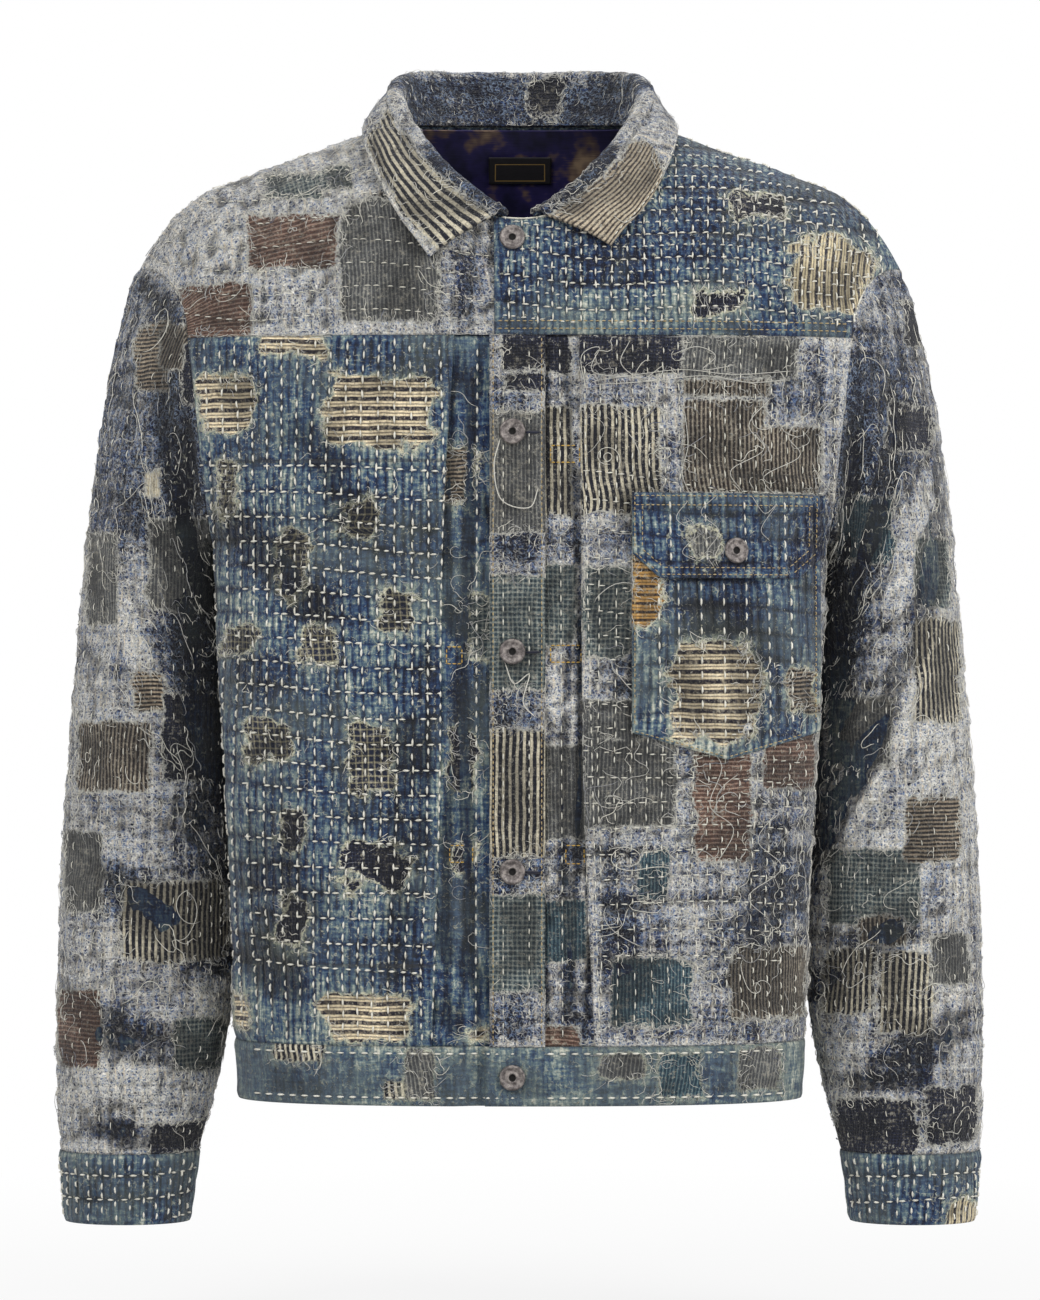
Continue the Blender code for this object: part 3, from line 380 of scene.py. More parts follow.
def sew(name, node, points, middle, lift, thick, material, place="front", patch_place=None, patches=(),
        creases=(), quilt=None, quilt_rows=None, nap=0.0, pale=0.0, shades=(), seam=0.55, closed=False,
        seed=1, cut=(0.0, 0.0), inside=None):
    """A closed shell of cloth on a grid of points: outside lift above them, inside thick below that.

    Its relief is the sum of creases, quilted cells between the stitch lines, the nap of gauze, sunken patches
    with raised torn edges, and seams drawn in at its edges. Its wear value holds wear and painted light and
    shade together: a soft unevenness raised by pale, paler on raised folds and darker in creases, partly as
    wear and partly as painted light and shade, paler at its edges, and moved by shades, each a soft spot of
    x, z, reach in x and z, and amount. pale and the shades are painted shadow and light in some places and
    wear in others. Its sunk value is how deep each place lies, by which shade is painted into its hollows.
    middle is a place behind the cloth, or None where the grid's first direction crossed with its second
    already points to the side that shows. Patches and creases lie by x and z, or on a chart by lengths along
    the grid from its middle column and first row, and patch_place gives patches and shades places of their
    own. The UV map's rows are heights, or lengths on a shoulder or an open chart, and cut moves it.
    """
    du, dv = np.gradient(points, axis=0), np.gradient(points, axis=1)
    if closed:
        du[0] = du[-1] = (points[1] - points[-2]) / 2
    crossed = np.cross(du, dv)
    normals = unit(crossed)
    turned = middle is not None and np.mean(np.einsum("ijk,ijk->ij", normals, points - middle)) < 0
    normals = -normals if turned else normals
    u, v = run_along(points, 0), run_along(points, 1)
    to_edge = np.minimum(np.minimum(u, u[-1:] - u), np.minimum(v, v[:, -1:] - v))
    rows = v.mean(0) if place == "chart" else None
    x, z = points[..., 0], points[..., 2]
    if place == "chart":
        step = np.linalg.norm(np.diff(points, axis=0), axis=-1).mean()
        x, z = (np.arange(len(u))[:, None] - len(u) // 2) * step + 0 * v, rows + 0 * v
    wear_x, wear_z = patch_place or (x, z)
    edges = patch_edges(wear_x, wear_z, patches, seed)
    nearest = np.minimum.reduce([*edges.values(), np.full(x.shape, FAR_FROM_PATCHES)])
    free = ease(nearest, -1.0, 2.5)

    relief = -creased(x, z, creases)
    # Wear and painted light and shade together: raised folds paler and creases darker, partly wear and partly
    # painted light and shade; pale and the shades add painted shadow and light in some places, wear in
    # others.
    worn = 0.5 + pale + (0.13 if nap else 0.22) * ripple(x, z, 85, seed + 3) + 0.3 * np.clip(relief, -1, 1)
    for spot_x, spot_z, reach_x, reach_z, amount in shades:
        worn = worn + amount * bell(wear_x, spot_x, reach_x) * bell(wear_z, spot_z, reach_z)
    worn = worn + 0.25 * (1 - ease(to_edge, 1.0, 8.0))
    fields = {}
    if quilt is not None:
        puff, fields = quilt_relief(x, z, quilt, quilt_rows, free)
        relief = relief + puff
    if nap:
        lumps = 0.7 * ripple(x, z, 14, seed + 5) + 0.55 * ripple(x, z, 7.5, seed + 6)
        relief = relief + nap * lumps * (0.3 + 0.7 * free)
    relief = relief + 0.5 * ripple(x, z, 44, seed + 8) + 0.75 * bell(nearest, 1.0, 2.2) - 0.8 * (1 - free)
    relief = relief * ease(to_edge, 0, 7.0) - seam * bell(to_edge, 0, 1.1) + 0.35 * bell(to_edge, 4.5, 2.5)

    lift, thick = (np.broadcast_to(np.asarray(size, float), u.shape)[..., None] for size in (lift, thick))
    outer = points + normals * (lift + relief[..., None])
    inner = (points + normals * (lift - thick))[::2, ::2]
    level = points[..., 2] if place == "front" or closed else v.mean(0) + 0 * v
    wide = np.cumsum(np.linalg.norm(crossed, axis=-1) / np.linalg.norm(dv, axis=-1), axis=0)
    chart = np.stack([wide - wide[len(wide) // 2] + cut[0], level + cut[1]], -1)
    # sunk is how deep each place lies; the cloth's material paints shade into it.
    fields |= {"worn": worn, "sunk": np.clip(0.5 - relief * 0.32, 0, 1)}
    fields |= {f"edge_{kind}": reach for kind, reach in edges.items()}
    obj = shell(name, outer, inner, chart, fields, turned, closed, [material, inside or wrong_side])
    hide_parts(node)
    return Cloth(obj, outer, normals, nearest, rows)


# ---------------------------------------------------------------- how any cloth is coloured
class Dye:
    """A socket of a material. + - * and / with another one or a number, on either side, add a Math node."""

    def __init__(self, tree, socket=None):
        self.tree, self.socket = tree, socket

    def node(self, kind, settings, inputs, out=0):
        """Adds a node: its settings, with `stops` for a ramp, then the values or links of its sockets."""
        made = self.tree.nodes.new("ShaderNode" + kind)
        for name, value in settings.items():
            if name == "stops":
                ramp = made.color_ramp.elements
                ramp[0].position, ramp[-1].position = value[0][0], value[-1][0]
                for place, _ in value[1:-1]:
                    ramp.new(place)
                for element, (_, colour) in zip(ramp, value):
                    element.color = (*linear(colour), 1)
            else:
                setattr(made, name, value)
        for name, value in inputs.items():
            if isinstance(value, Dye):
                self.tree.links.new(value.socket, made.inputs[name])
            else:
                made.inputs[name].default_value = value
        return Dye(self.tree, made.outputs[out] if made.outputs else None)

    def math(self, operation, *values):
        """A Math node of up to three values."""
        return self.node("Math", {"operation": operation}, dict(enumerate(values)))

    def __add__(self, other):
        return self.math("ADD", self, other)

    def __sub__(self, other):
        return self.math("SUBTRACT", self, other)

    def __rsub__(self, other):
        return self.math("SUBTRACT", other, self)

    def __mul__(self, other):
        return self.math("MULTIPLY", self, other)

    def __truediv__(self, other):
        return self.math("DIVIDE", self, other)

    __radd__, __rmul__ = __add__, __mul__

    def kept(self, low=0.0, high=1.0):
        """The value held between two limits."""
        return self.node("Clamp", {}, {"Value": self, "Min": low, "Max": high})

    def near(self, width):
        """1 where the value is 0, falling to 0 at `width` on both sides."""
        return (1.0 - self.math("ABSOLUTE", self) / width).kept()

    def bars(self, half_pitch, width):
        """1 wherever the value is a whole number of pitches, falling to 0 at `width` on both sides."""
        return (1.0 - self.math("PINGPONG", self, half_pitch) / width).kept()

    def part(self, axis):
        """One of a vector's three parts."""
        return self.node("SeparateXYZ", {}, {0: self}, axis)

    def mixed(self, first, second, share):
        """A colour part of the way from the first to the second."""
        return self.node("Mix", {"data_type": "RGBA"}, {0: share, 6: paint(first), 7: paint(second)}, 2)

    def ramp(self, *stops):
        """A colour by the value, from stops of a place and a colour."""
        return self.node("ValToRGB", {"stops": stops}, {"Fac": self})

    def moved(self, operation, first, second, socket=1):
        """A Vector Math node of two vectors, or of a vector and a number for SCALE."""
        return self.node("VectorMath", {"operation": operation}, {0: first, socket: second})

    def noise(self, at, size, detail=2.0, rough=0.5, out=0):
        """Soft noise whose lumps are about `size` across, in the units of the vector `at`."""
        inputs = {"Vector": at, "Scale": 1 / size, "Detail": detail, "Roughness": rough}
        return self.node("TexNoise", {}, inputs, out)

    def drawn(self, at, stretch, size, detail=1.0, rough=0.5):
        """Noise about 0 whose lumps are long in the directions where stretch is small."""
        return self.noise(self.moved("MULTIPLY", at, stretch), size, detail, rough) - 0.5

    def tangle(self, at, size, width, layer):
        """Thin curling lines like loose yarn: where one noise passes through its middle value."""
        return (self.noise(self.moved("ADD", at, (layer, layer, 0.0)), size, 1.0, 0.5) - 0.5).near(width)

    def field(self, name):
        """A value that the piece's mesh holds at each point."""
        return self.node("Attribute", {"attribute_name": name}, {}, 2)


def linear(colour):
    """A colour of 0 to 255 as Blender's linear numbers."""
    share = np.array(colour, float) / 255
    return tuple(np.where(share <= 0.04045, share / 12.92, ((share + 0.055) / 1.055) ** 2.4).tolist())


def paint(colour):
    """A colour as an input takes it: a socket as it is, numbers of 0 to 255 as linear ones."""
    return colour if isinstance(colour, Dye) else (*linear(colour), 1)


def new_dye(name):
    """A start for the nodes of a new, empty material."""
    material = bpy.data.materials.new(name)
    material.use_nodes = True
    material.node_tree.nodes.clear()
    return Dye(material.node_tree)


def finish_cloth(name, colour, height, rough=0.92, sheen=0.12):
    """The last step of any cloth: rough, with a little sheen, and a bump whose height is in millimetres."""
    bump = colour.node("Bump", {}, {"Height": height, "Distance": MM, "Strength": 1.0})
    shader = colour.node("BsdfPrincipled", {}, {
        "Base Color": colour, "Normal": bump, "Roughness": rough, "Sheen Weight": sheen,
        "Sheen Roughness": 0.6, "Specular IOR Level": 0.25})
    colour.node("OutputMaterial", {}, {"Surface": shader})
    return bpy.data.materials[name]


# Cloths of the patches: ground and line colours, then the pitch in mm, the line's share of it and the share
# of a thin second line between, for lines that stand upright and for lines that lie across.
PLAIN = (0, 0, 0)
WEAVES = {
    "ticking": ((255, 236, 198), (30, 28, 44), PLAIN, (6.4, 0.44, 0.14)),
    "mattress": ((232, 216, 178), (32, 34, 52), (6.2, 0.38, 0.12), PLAIN),
    "amber": ((206, 160, 92), (52, 42, 42), PLAIN, (5.4, 0.34, 0.12)),
    "stripe": ((20, 23, 38), (228, 218, 192), (4.4, 0.42, 0), PLAIN),
    "laid": ((20, 23, 38), (232, 222, 196), PLAIN, (5.2, 0.46, 0)),
    "tealcheck": ((52, 70, 80), (164, 172, 164), (3.2, 0.38, 0), (3.2, 0.38, 0)),
    "tanrib": ((72, 64, 60), (212, 196, 170), PLAIN, (2.9, 0.56, 0)),
    "rib": ((48, 43, 42), (186, 168, 144), PLAIN, (2.7, 0.45, 0)),
    "cord": ((52, 45, 42), (174, 162, 144), (2.9, 0.42, 0), PLAIN),
    "grey": ((84, 86, 88), (146, 146, 140), (2.6, 0.35, 0), PLAIN),
    "brown": ((98, 72, 62), (172, 142, 124), PLAIN, (3.0, 0.35, 0)),
    "navy": ((14, 17, 34), (50, 56, 80), (2.2, 0.3, 0), (2.2, 0.3, 0)),
    "teal": ((42, 68, 84), (104, 130, 136), (2.4, 0.35, 0), PLAIN),
    "darn": ((24, 32, 54), (186, 178, 146), (4.4, 0.24, 0), (4.4, 0.24, 0)),
    "cream": ((206, 194, 166), (232, 226, 204), (2.4, 0.4, 0), PLAIN),
}


class Worn(Dye):
    """The start of a worn cloth's nodes, with what all its colours and heights are mixed from: places on the
    cloth, noises for its yarns, lint, tufts and clouds of dirt, and what the mesh holds: its wear together
    with painted light and shade, and how sunk each place lies, by which shade is painted into its hollows."""

    def __init__(self, name, upright, quilted):
        """upright is how many times as close as the mesh's own quilting lines the upright ones are."""
        super().__init__(new_dye(name).tree)
        self.place = self.moved("SCALE", self.node("TexCoord", {}, {}, 3), 1 / MM, "Scale")
        drift = self.moved("SUBTRACT", self.noise(self.place, 30, out=1), (0.5, 0.5, 0.5))
        own = self.node("UVMap", {"uv_map": "cut"}, {})
        self.cut = self.moved("ADD", own, self.moved("SCALE", drift, 4.0, "Scale"))
        self.warp = self.drawn(self.place, (1.0, 1.0, 0.12), 2.1, 1.0, 0.6)
        self.weft = self.drawn(self.place, (0.12, 0.12, 1.0), 2.1, 1.0, 0.6)
        self.lint = self.noise(self.place, 2.1, 2.0, 0.7) - 0.5
        self.tufts = self.noise(self.place, 5.0, 3.0, 0.7) - 0.5
        self.cloud = self.noise(self.place, 52, 3.0, 0.6) - 0.5
        self.worn, self.sunk = self.field("worn"), self.field("sunk")
        self.yarn = self.tangle(self.place, 4.0, 0.06, 0.0)
        # rise is 1 in the middle of a quilted cell and 0 on its stitch lines; the grounds paint the puffed
        # cells paler and the stitched grooves darker, partly as wear and partly as painted light and shade.
        self.rise = 0.5
        if quilted:
            across, up = (self.math("PINGPONG", self.field(f"quilt_{word}") * count, 0.5) * 2.0
                          for word, count in (("across", upright), ("up", 1.0)))
            across = self.math("POWER", across + 0.02, 0.5)
            self.rise = across * self.math("POWER", up * 2.2 + 0.03, 0.4).kept()


def denim_ground(dye, quilted, dulled):
    """Colour and height of faded denim: slubby yarns, upright puckers, a shade of its own for each few cells
    of the quilting, and grey dirt."""
    worn, warp, weft, lint, tufts, yarn = dye.worn, dye.warp, dye.weft, dye.lint, dye.tufts, dye.yarn
    pucker = dye.drawn(dye.place, (1.0, 1.0, 0.10), 4.2)
    block = 0.0
    if quilted:
        squares = dye.node("CombineXYZ", {}, {
            axis: dye.math("FLOOR", dye.field(f"quilt_{word}") * 0.21 + 0.3)
            for axis, word in enumerate(("across", "up"))})
        block = dye.node("TexWhiteNoise", {}, {"Vector": squares}) - 0.5
    # Paler on the quilted cells and darker on the stitch lines: partly wear, partly painted light and shade.
    tone = (worn * 0.5 + warp * 0.8 + weft * 0.6 + lint * 0.6 + tufts * 0.6 + dye.cloud * 0.4 + pucker * 0.5
            + dye.rise * 0.42 + block * 0.2 - 0.11)
    colour = tone.ramp((0.04, (12, 17, 36)), (0.25, (28, 44, 76)), (0.42, (50, 74, 106)),
                       (0.60, (96, 116, 124)), (0.78, (156, 167, 160)), (0.95, (226, 225, 208)))
    colour = dye.mixed(colour, (204, 205, 184), yarn * (tufts * 6.0 - 0.1).kept(0.0, 0.8))
    colour = dye.mixed(colour, (92, 102, 100), (0.08 - dye.cloud * 2.4 + dulled).kept(0.0, 0.55))
    height = lint * 0.8 + warp * 0.4 + weft * 0.4 + tufts * 1.4 + pucker * 3.2 + yarn * 0.3 + dye.rise * 1.6
    return colour, height


def gauze_ground(dye):
    """Colour and height of gauze over older cloths: grey and blue by its clouds, faint upright and level
    bands, and over them a loose net, rows of broken stitching and curling pale yarn of four sizes."""
    warp, weft, lint, tufts, cloud, yarn = dye.warp, dye.weft, dye.lint, dye.tufts, dye.cloud, dye.yarn
    loop, hank = dye.tangle(dye.place, 2.8, 0.08, 50.0), dye.tangle(dye.place, 6.0, 0.03, 90.0)
    fine = (dye.tangle(dye.place, 2.0, 0.16, 20.0) * 2.2 - 0.7).kept()
    band = dye.drawn(dye.place, (1.0, 1.0, 0.03), 8)
    bar = dye.drawn(dye.place, (0.03, 0.03, 1.0), 9)
    plaid = band * 1.7 + bar * 1.5 + cloud * 0.5
    side, level = dye.cut.part(0), dye.cut.part(1)
    warps = (side + tufts * 3.4).bars(1.6, 1.1)
    wefts = (level + tufts * 3.4).bars(2.2, 1.3)
    net = (dye.math("MAXIMUM", warps * 0.8, wefts) * 2.2 - 0.8).kept()
    dashed = (dye.noise(dye.moved("MULTIPLY", dye.place, (0.3, 0.3, 1.0)), 4.6, 1.0) * 6.0 - 2.6).kept()
    rows = (side + tufts * 2.2).bars(2.9, 1.2) * dashed
    # Paler on the quilted cells and darker on the stitch lines: partly wear, partly painted light and shade.
    tone = (dye.worn * 0.5 + warp * 1.1 + weft * 1.1 + lint * 1.4 + tufts * 0.6 + plaid * 0.3
            + dye.rise * 0.24 + net * 0.06 - 0.24)
    old = tone.ramp((0.06, (12, 14, 22)), (0.26, (42, 50, 66)), (0.46, (88, 94, 104)),
                    (0.66, (136, 142, 150)), (0.9, (216, 214, 208)))
    blue = tone.ramp((0.06, (8, 14, 36)), (0.26, (26, 44, 86)), (0.46, (56, 82, 126)),
                     (0.66, (100, 126, 164)), (0.9, (192, 200, 208)))
    colour = dye.mixed(old, blue, (cloud * 5.0 + 1.3).kept())
    colour = dye.mixed(colour, (150, 170, 198), loop * (0.4 + plaid - tufts * 3.0).kept(0.0, 0.7))
    bare = plaid * 0.65 + (dye.worn - 0.5) * 1.4
    colour = dye.mixed(colour, (200, 207, 218), net * (bare + 0.06).kept(0.0, 0.85))
    colour = dye.mixed(colour, (242, 238, 228), fine * (bare + 0.24).kept(0.0, 0.95))
    colour = dye.mixed(colour, (250, 236, 212), rows * (bare + 0.5).kept())
    longest = dye.math("MAXIMUM", yarn, hank) * (bare + tufts * 4.0 + 0.55).kept()
    colour = dye.mixed(colour, (252, 249, 240), longest)
    height = (lint * 0.6 + warp * 0.5 + weft * 0.5 + tufts * 1.2 + yarn * 0.5 + loop * 0.4 + hank * 0.5
              + dye.rise * 1.2 + net * 0.5 + rows * 0.6 + fine * 0.5)
    return colour, height


def swatch(dye, kind):
    """Colour of a patch's own cloth and where its lines are: woven lines, pale lint and dark wear."""
    ground, line, *lays = WEAVES[kind]
    parts = []
    for axis, (pitch, share, thin) in enumerate(lays):
        if pitch:
            swing = dye.math("PINGPONG", dye.cut.part(axis) + dye.tufts * 0.8, pitch / 2)
            lines = ((share * pitch / 2 - swing) * 2.6 + 0.5).kept()
            if thin:
                lines = lines + ((swing - (1 - thin) * pitch / 2) * 3.0 + 0.5).kept() * 0.7
            parts.append(lines)
    lines = parts[0] if len(parts) == 1 else parts[0] * 0.5 + parts[1] * 0.5
    fade = dye.lint * 1.9 + dye.tufts * 1.2 + dye.warp * 0.7 + dye.weft * 0.7 + dye.cloud * 0.6
    colour = dye.mixed(ground, line, (lines * (1.05 - dye.math("ABSOLUTE", dye.tufts) * 2.0)).kept())
    colour = dye.mixed(colour, (10, 11, 18), (0.0 - fade * 1.1 - 0.03).kept(0.0, 0.7))
    return dye.mixed(colour, (236, 228, 206), (fade * 1.0 - 0.11).kept(0.0, 0.7)), lines


def boro(name, base, patches=(), quilted=True, torn=1.0, dulled=0.0):
    """Worn cloth with patches under and on it: the base is faded denim or gauze, and each kind of patch takes
    its place where the mesh's own distance to that patch's torn edge, roughened by noise, is below zero. torn
    is how much pale fringe it has, dulled how far dirt has greyed it."""
    denim = base == "denim"
    dye = Worn(name, 2.0 if denim else 1.0, quilted)
    colour, height = denim_ground(dye, quilted, dulled) if denim else gauze_ground(dye)
    rim_colour = (220, 217, 190) if denim else (210, 208, 198)
    tear = dye.tufts * 5.5 + dye.lint * 2.4
    for kind in dict.fromkeys(kind for kind, *_ in patches):
        edge = dye.field(f"edge_{kind}") + tear
        inside = ((0.0 - edge) * 1.3 + 0.5).kept()
        fringe = (edge - 0.3).near(2.6)
        rim = (fringe * 1.8 + dye.yarn * 1.0 + dye.lint * 4.0 - 1.1).kept()
        patch, lines = swatch(dye, kind)
        if denim:
            halo = edge.near(6.5) * (dye.tufts * 4.0 + dye.yarn * 0.5 + 0.2)
            colour = dye.mixed(colour, (170, 177, 156), halo.kept(0.0, 0.5 * torn))
        colour = dye.mixed(dye.mixed(colour, patch, inside), rim_colour, rim * (0.9 * torn))
        height = height + (lines * 0.45 - height * 0.3) * inside + rim * 0.5
    # Painted shade: the deeper the mesh lies in a crease, seam, quilted valley or sunken patch, the darker.
    colour = dye.mixed(colour, (8, 9, 13), ((dye.sunk - 0.50) * 1.6).kept(0.0, 0.66))
    return finish_cloth(name, colour, height)


wrong_side = boro("wrong_side", "denim", quilted=False)


# ---------------------------------------------------------------- how thread is laid on cloth
THREAD_TIP = 0.35
DASH_SHARES = np.array([-1, -0.42, 0.42, 1])
DASH_LIFT = np.array([-0.3, 0.8, 0.8, -0.3])


def threads(name, cloth, paths, normals, radius, material, tone):
    """Three-sided threads along rows of points, thinner at their ends. tone is each thread's own shade."""
    count, length = paths.shape[:2]
    along = unit(np.gradient(paths, axis=1))
    side = unit(np.cross(along, normals))
    up = np.cross(side, along)
    taper = np.ones(length)
    taper[[0, -1]] = THREAD_TIP
    size = (np.broadcast_to(radius, count)[:, None] * taper)[..., None]
    turns = np.radians([90, 210, 330])
    rings = np.stack([paths + size * (np.cos(t) * side + np.sin(t) * up) for t in turns], 2)
    index = np.arange(count * length * 3).reshape(count, length, 3)
    following = np.roll(index, -1, axis=2)
    walls = np.stack([index[:, :-1], following[:, :-1], following[:, 1:], index[:, 1:]], -1).reshape(-1, 4)
    caps = np.concatenate([index[:, 0, ::-1], index[:, -1]])
    obj = made_mesh(name, rings.reshape(-1, 3), walls[:, ::-1].tolist() + caps[:, ::-1].tolist(), [material])
    hold(obj, "tone", np.repeat(np.broadcast_to(tone, count), length * 3))
    cloth.extras.append(obj)


def spun(name, dark, light):
    """Twisted cotton thread: its own tone between two colours, with the twist as fine slanting ribs."""
    dye = new_dye(name)
    twist = dye.noise(dye.node("TexCoord", {}, {}, 3), 0.0006, 2.0, 0.6)
    tone = dye.field("tone") * 0.8 + (twist - 0.5) * 0.9 + 0.1
    return finish_cloth(name, tone.ramp((0.0, dark), (1.0, light)), twist * 0.4, 0.85)


cream_cotton = spun("cream_cotton", (184, 178, 160), (255, 252, 240))
loose_cotton = spun("loose_cotton", (50, 66, 102), (248, 244, 230))
tan_cotton = spun("tan_cotton", (118, 98, 66), (214, 190, 140))
gold_cotton = spun("gold_cotton", (150, 108, 30), (238, 196, 92))
dark_cotton = spun("dark_cotton", (10, 11, 18), (40, 44, 62))


def dashes(cloth, x, z, dx, dz, face=None):
    """Four-point stitches centred on places x, z, reaching dx, dz to either side, arched over the cloth."""
    share = DASH_SHARES
    a, b = cloth.find(x[:, None] + dx[:, None] * share, z[:, None] + dz[:, None] * share, face)
    points, normals = cloth.at(a, b)
    return points + normals * DASH_LIFT[:, None], normals


def rows_of(pitch, length, *lines):
    """Stitches along straight lines, each given by two places: x, z, dx, dz."""
    found = []
    for x0, z0, x1, z1 in lines:
        reach = np.hypot(x1 - x0, z1 - z0)
        share = (np.arange(int(reach / pitch)) + 0.5) * pitch / reach
        half = length / 2 / reach
        found.append((x0 + (x1 - x0) * share, z0 + (z1 - z0) * share,
                      np.full(share.shape, (x1 - x0) * half), np.full(share.shape, (z1 - z0) * half)))
    return tuple(np.concatenate(part) for part in zip(*found))


def box_of(left, right, low, high):
    """The four sides of a rectangle, as lines for rows_of."""
    level = [(left, z, right, z) for z in (high, low)]
    return (*level, (left, low, left, high), (right, low, right, high))


def quilt_stitches(seed, quilt, box, upright=(5.2, 8.6), level=(4.4, 7.4), rows=None, between=0.0):
    """Running stitch on a piece's quilting lines inside a box (left, right, low, high). upright and level are
    a stitch's length and pitch, rows keeps the level lines between two heights, and between moves them by a
    share of the space between two lines."""
    draw = np.random.default_rng(seed)
    left, right, low, high = box
    found = []
    if upright:
        lines = np.arange(np.ceil(left / QUILT_X) - 1, right / QUILT_X + 1)
        places = np.arange(low, high, upright[1])
        line, z = (grid.ravel() for grid in np.meshgrid(lines, places, indexing="ij"))
        z = z + (line * 3.7) % upright[1] + draw.normal(0, 0.9, z.shape)
        x = line * QUILT_X
        for _ in range(3):
            x = line * QUILT_X - QUILT_SWAY_X * ripple(x, z, QUILT_WAVE_X, quilt)
        x = x + draw.normal(0, 0.25, z.shape)
        half = upright[0] / 2 * draw.uniform(0.8, 1.15, z.shape)
        found.append((x, z, half * draw.normal(0, 0.05, z.shape), half))
    if level:
        rows = rows or (low, high)
        lines = np.arange(np.ceil(rows[0] / QUILT_Z) - 1, rows[1] / QUILT_Z + 1) + between
        places = np.arange(left, right, level[1])
        line, x = (grid.ravel() for grid in np.meshgrid(lines, places, indexing="ij"))
        x = x + (line * 2.9) % level[1] + draw.normal(0, 0.7, x.shape)
        z = line * QUILT_Z
        for _ in range(3):
            z = line * QUILT_Z - QUILT_SLANT * x - QUILT_SWAY_Z * ripple(x, z, QUILT_WAVE_Z, quilt + 1)
        half = level[0] / 2 * draw.uniform(0.8, 1.15, z.shape)
        inside = (z > rows[0]) & (z < rows[1])
        found.append(tuple(v[inside] for v in (x, z, half, half * draw.normal(0, 0.05, z.shape))))
    x, z, dx, dz = (np.concatenate(part) for part in zip(*found))
    inside = (x > left + QUILT_INSET) & (x < right - QUILT_INSET)
    inside &= (z > low + QUILT_INSET) & (z < high - QUILT_INSET)
    return tuple(v[inside] for v in (x, z, dx, dz))


def stitched(name, cloth, places, material=cream_cotton, radius=0.8, seed=5, face=None,
             keep=1.0):
    """Puts running stitches on a piece at places x, z, dx, dz; keep is the share that hasn't worn through."""
    draw = np.random.default_rng(seed)
    kept = draw.uniform(size=places[0].shape) < keep
    x, z, dx, dz = (part[kept] for part in places)
    paths, normals = dashes(cloth, x, z, dx, dz, face)
    reach = np.linalg.norm(paths[:, -1] - paths[:, 0], axis=-1)
    good = (reach < 3.2 * np.hypot(dx, dz)) & (reach > 1.0)
    size = radius * draw.uniform(0.85, 1.15, good.sum())
    threads(name, cloth, paths[good], normals[good], size, material, draw.uniform(0.55, 1.0, good.sum()))


def wander(cloth, a, b, heading, reach, bend, draw, points=6, crimp=(0.2, 0.9), waves=(3, 11)):
    """Paths of `points` places from grid places a, b in a heading that turns by `bend` on the way and swings
    by `crimp`, and their height over the cloth."""
    share = np.linspace(0, 1, points)
    count = len(a)
    swing = draw.uniform(*crimp, (count, 1))
    swing = swing * np.sin(share * draw.uniform(*waves, (count, 1)) + draw.uniform(0, 6, (count, 1)))
    heading = heading[:, None] + bend[:, None] * share + swing
    stride = reach[:, None] / (points - 1) * (share > 0)
    a = a[:, None] + np.cumsum(np.cos(heading) * stride, 1) / cloth.step[0]
    b = b[:, None] + np.cumsum(np.sin(heading) * stride, 1) / cloth.step[1]
    on_cloth, normals = cloth.at(a, b)
    lift = draw.uniform(0.2, 1.5, (count, 1))
    lift = lift * np.abs(np.sin(share * draw.uniform(2.4, 6.0, (count, 1)))) - 0.1
    return on_cloth + normals * lift[..., None], normals


def frays(name, cloth, spacing=2.6, seed=3, lengths=(4.0, 13.0), radius=0.22):
    """Loose yarn ends along torn edges: each starts at an edge and curls away over the cloth."""
    draw = np.random.default_rng(seed)
    ga, gb = np.gradient(cloth.edge)
    ga, gb = ga / cloth.step[0], gb / cloth.step[1]
    near = np.argwhere((np.abs(cloth.edge) < 2.0) & (np.hypot(ga, gb) > 0.3))
    share = int(len(near) * cloth.step[0] * cloth.step[1] / 4.0 / spacing)
    near = near[draw.permutation(len(near))[:share]]
    count = len(near)
    inward = np.where(draw.uniform(size=count) < 0.6, np.pi, 0.0)
    heading = np.arctan2(gb[tuple(near.T)], ga[tuple(near.T)]) + inward + draw.normal(0, 0.8, count)
    bend = draw.normal(0, 2.6, count)
    reach = draw.uniform(*lengths, count)
    a, b = near.T + draw.uniform(-0.5, 0.5, (2, count))
    points, normals = wander(cloth, a, b, heading, reach, bend, draw)
    tone = np.clip(draw.normal(0.68, 0.3, count), 0, 1)
    threads(name, cloth, points, normals, radius * draw.uniform(0.7, 1.4, count), loose_cotton, tone)


def curls(name, cloth, count, seed, radius=0.24, size=(1.0, 2.6)):
    """Looped fuzz: short yarns that turn round most of a circle and stand off the cloth, off the patches."""
    draw = np.random.default_rng(seed)
    rows, columns = cloth.edge.shape
    a = draw.uniform(1.0, rows - 2.0, 3 * count)
    b = draw.uniform(1.0, columns - 2.0, 3 * count)
    bare = cloth.edge[a.astype(int), b.astype(int)] > 0
    a, b = a[bare][:count], b[bare][:count]
    count = len(a)
    reach = draw.uniform(*size, (count, 1))
    share = np.linspace(0, 1, 4)
    angle = draw.uniform(0, 2 * np.pi, (count, 1))
    angle = angle + draw.choice([-1, 1], (count, 1)) * draw.uniform(2.0, 4.4, (count, 1)) * share
    wide = reach * (0.7 + 0.6 * share * draw.uniform(-1, 1, (count, 1)))
    drift = draw.normal(0, 1.6, (2, count, 1)) * share
    a = a[:, None] + (wide * np.cos(angle) + drift[0]) / cloth.step[0]
    b = b[:, None] + (wide * np.sin(angle) + drift[1]) / cloth.step[1]
    points, normals = cloth.at(a, b)
    lift = 0.1 + draw.uniform(0.2, 1.0, (count, 1)) * np.sin(np.pi * share) ** 0.7
    points = points + normals * lift[..., None]
    tone = np.clip(draw.normal(0.68, 0.3, count), 0, 1)
    threads(name, cloth, points, normals, radius * draw.uniform(0.7, 1.35, count), loose_cotton, tone)


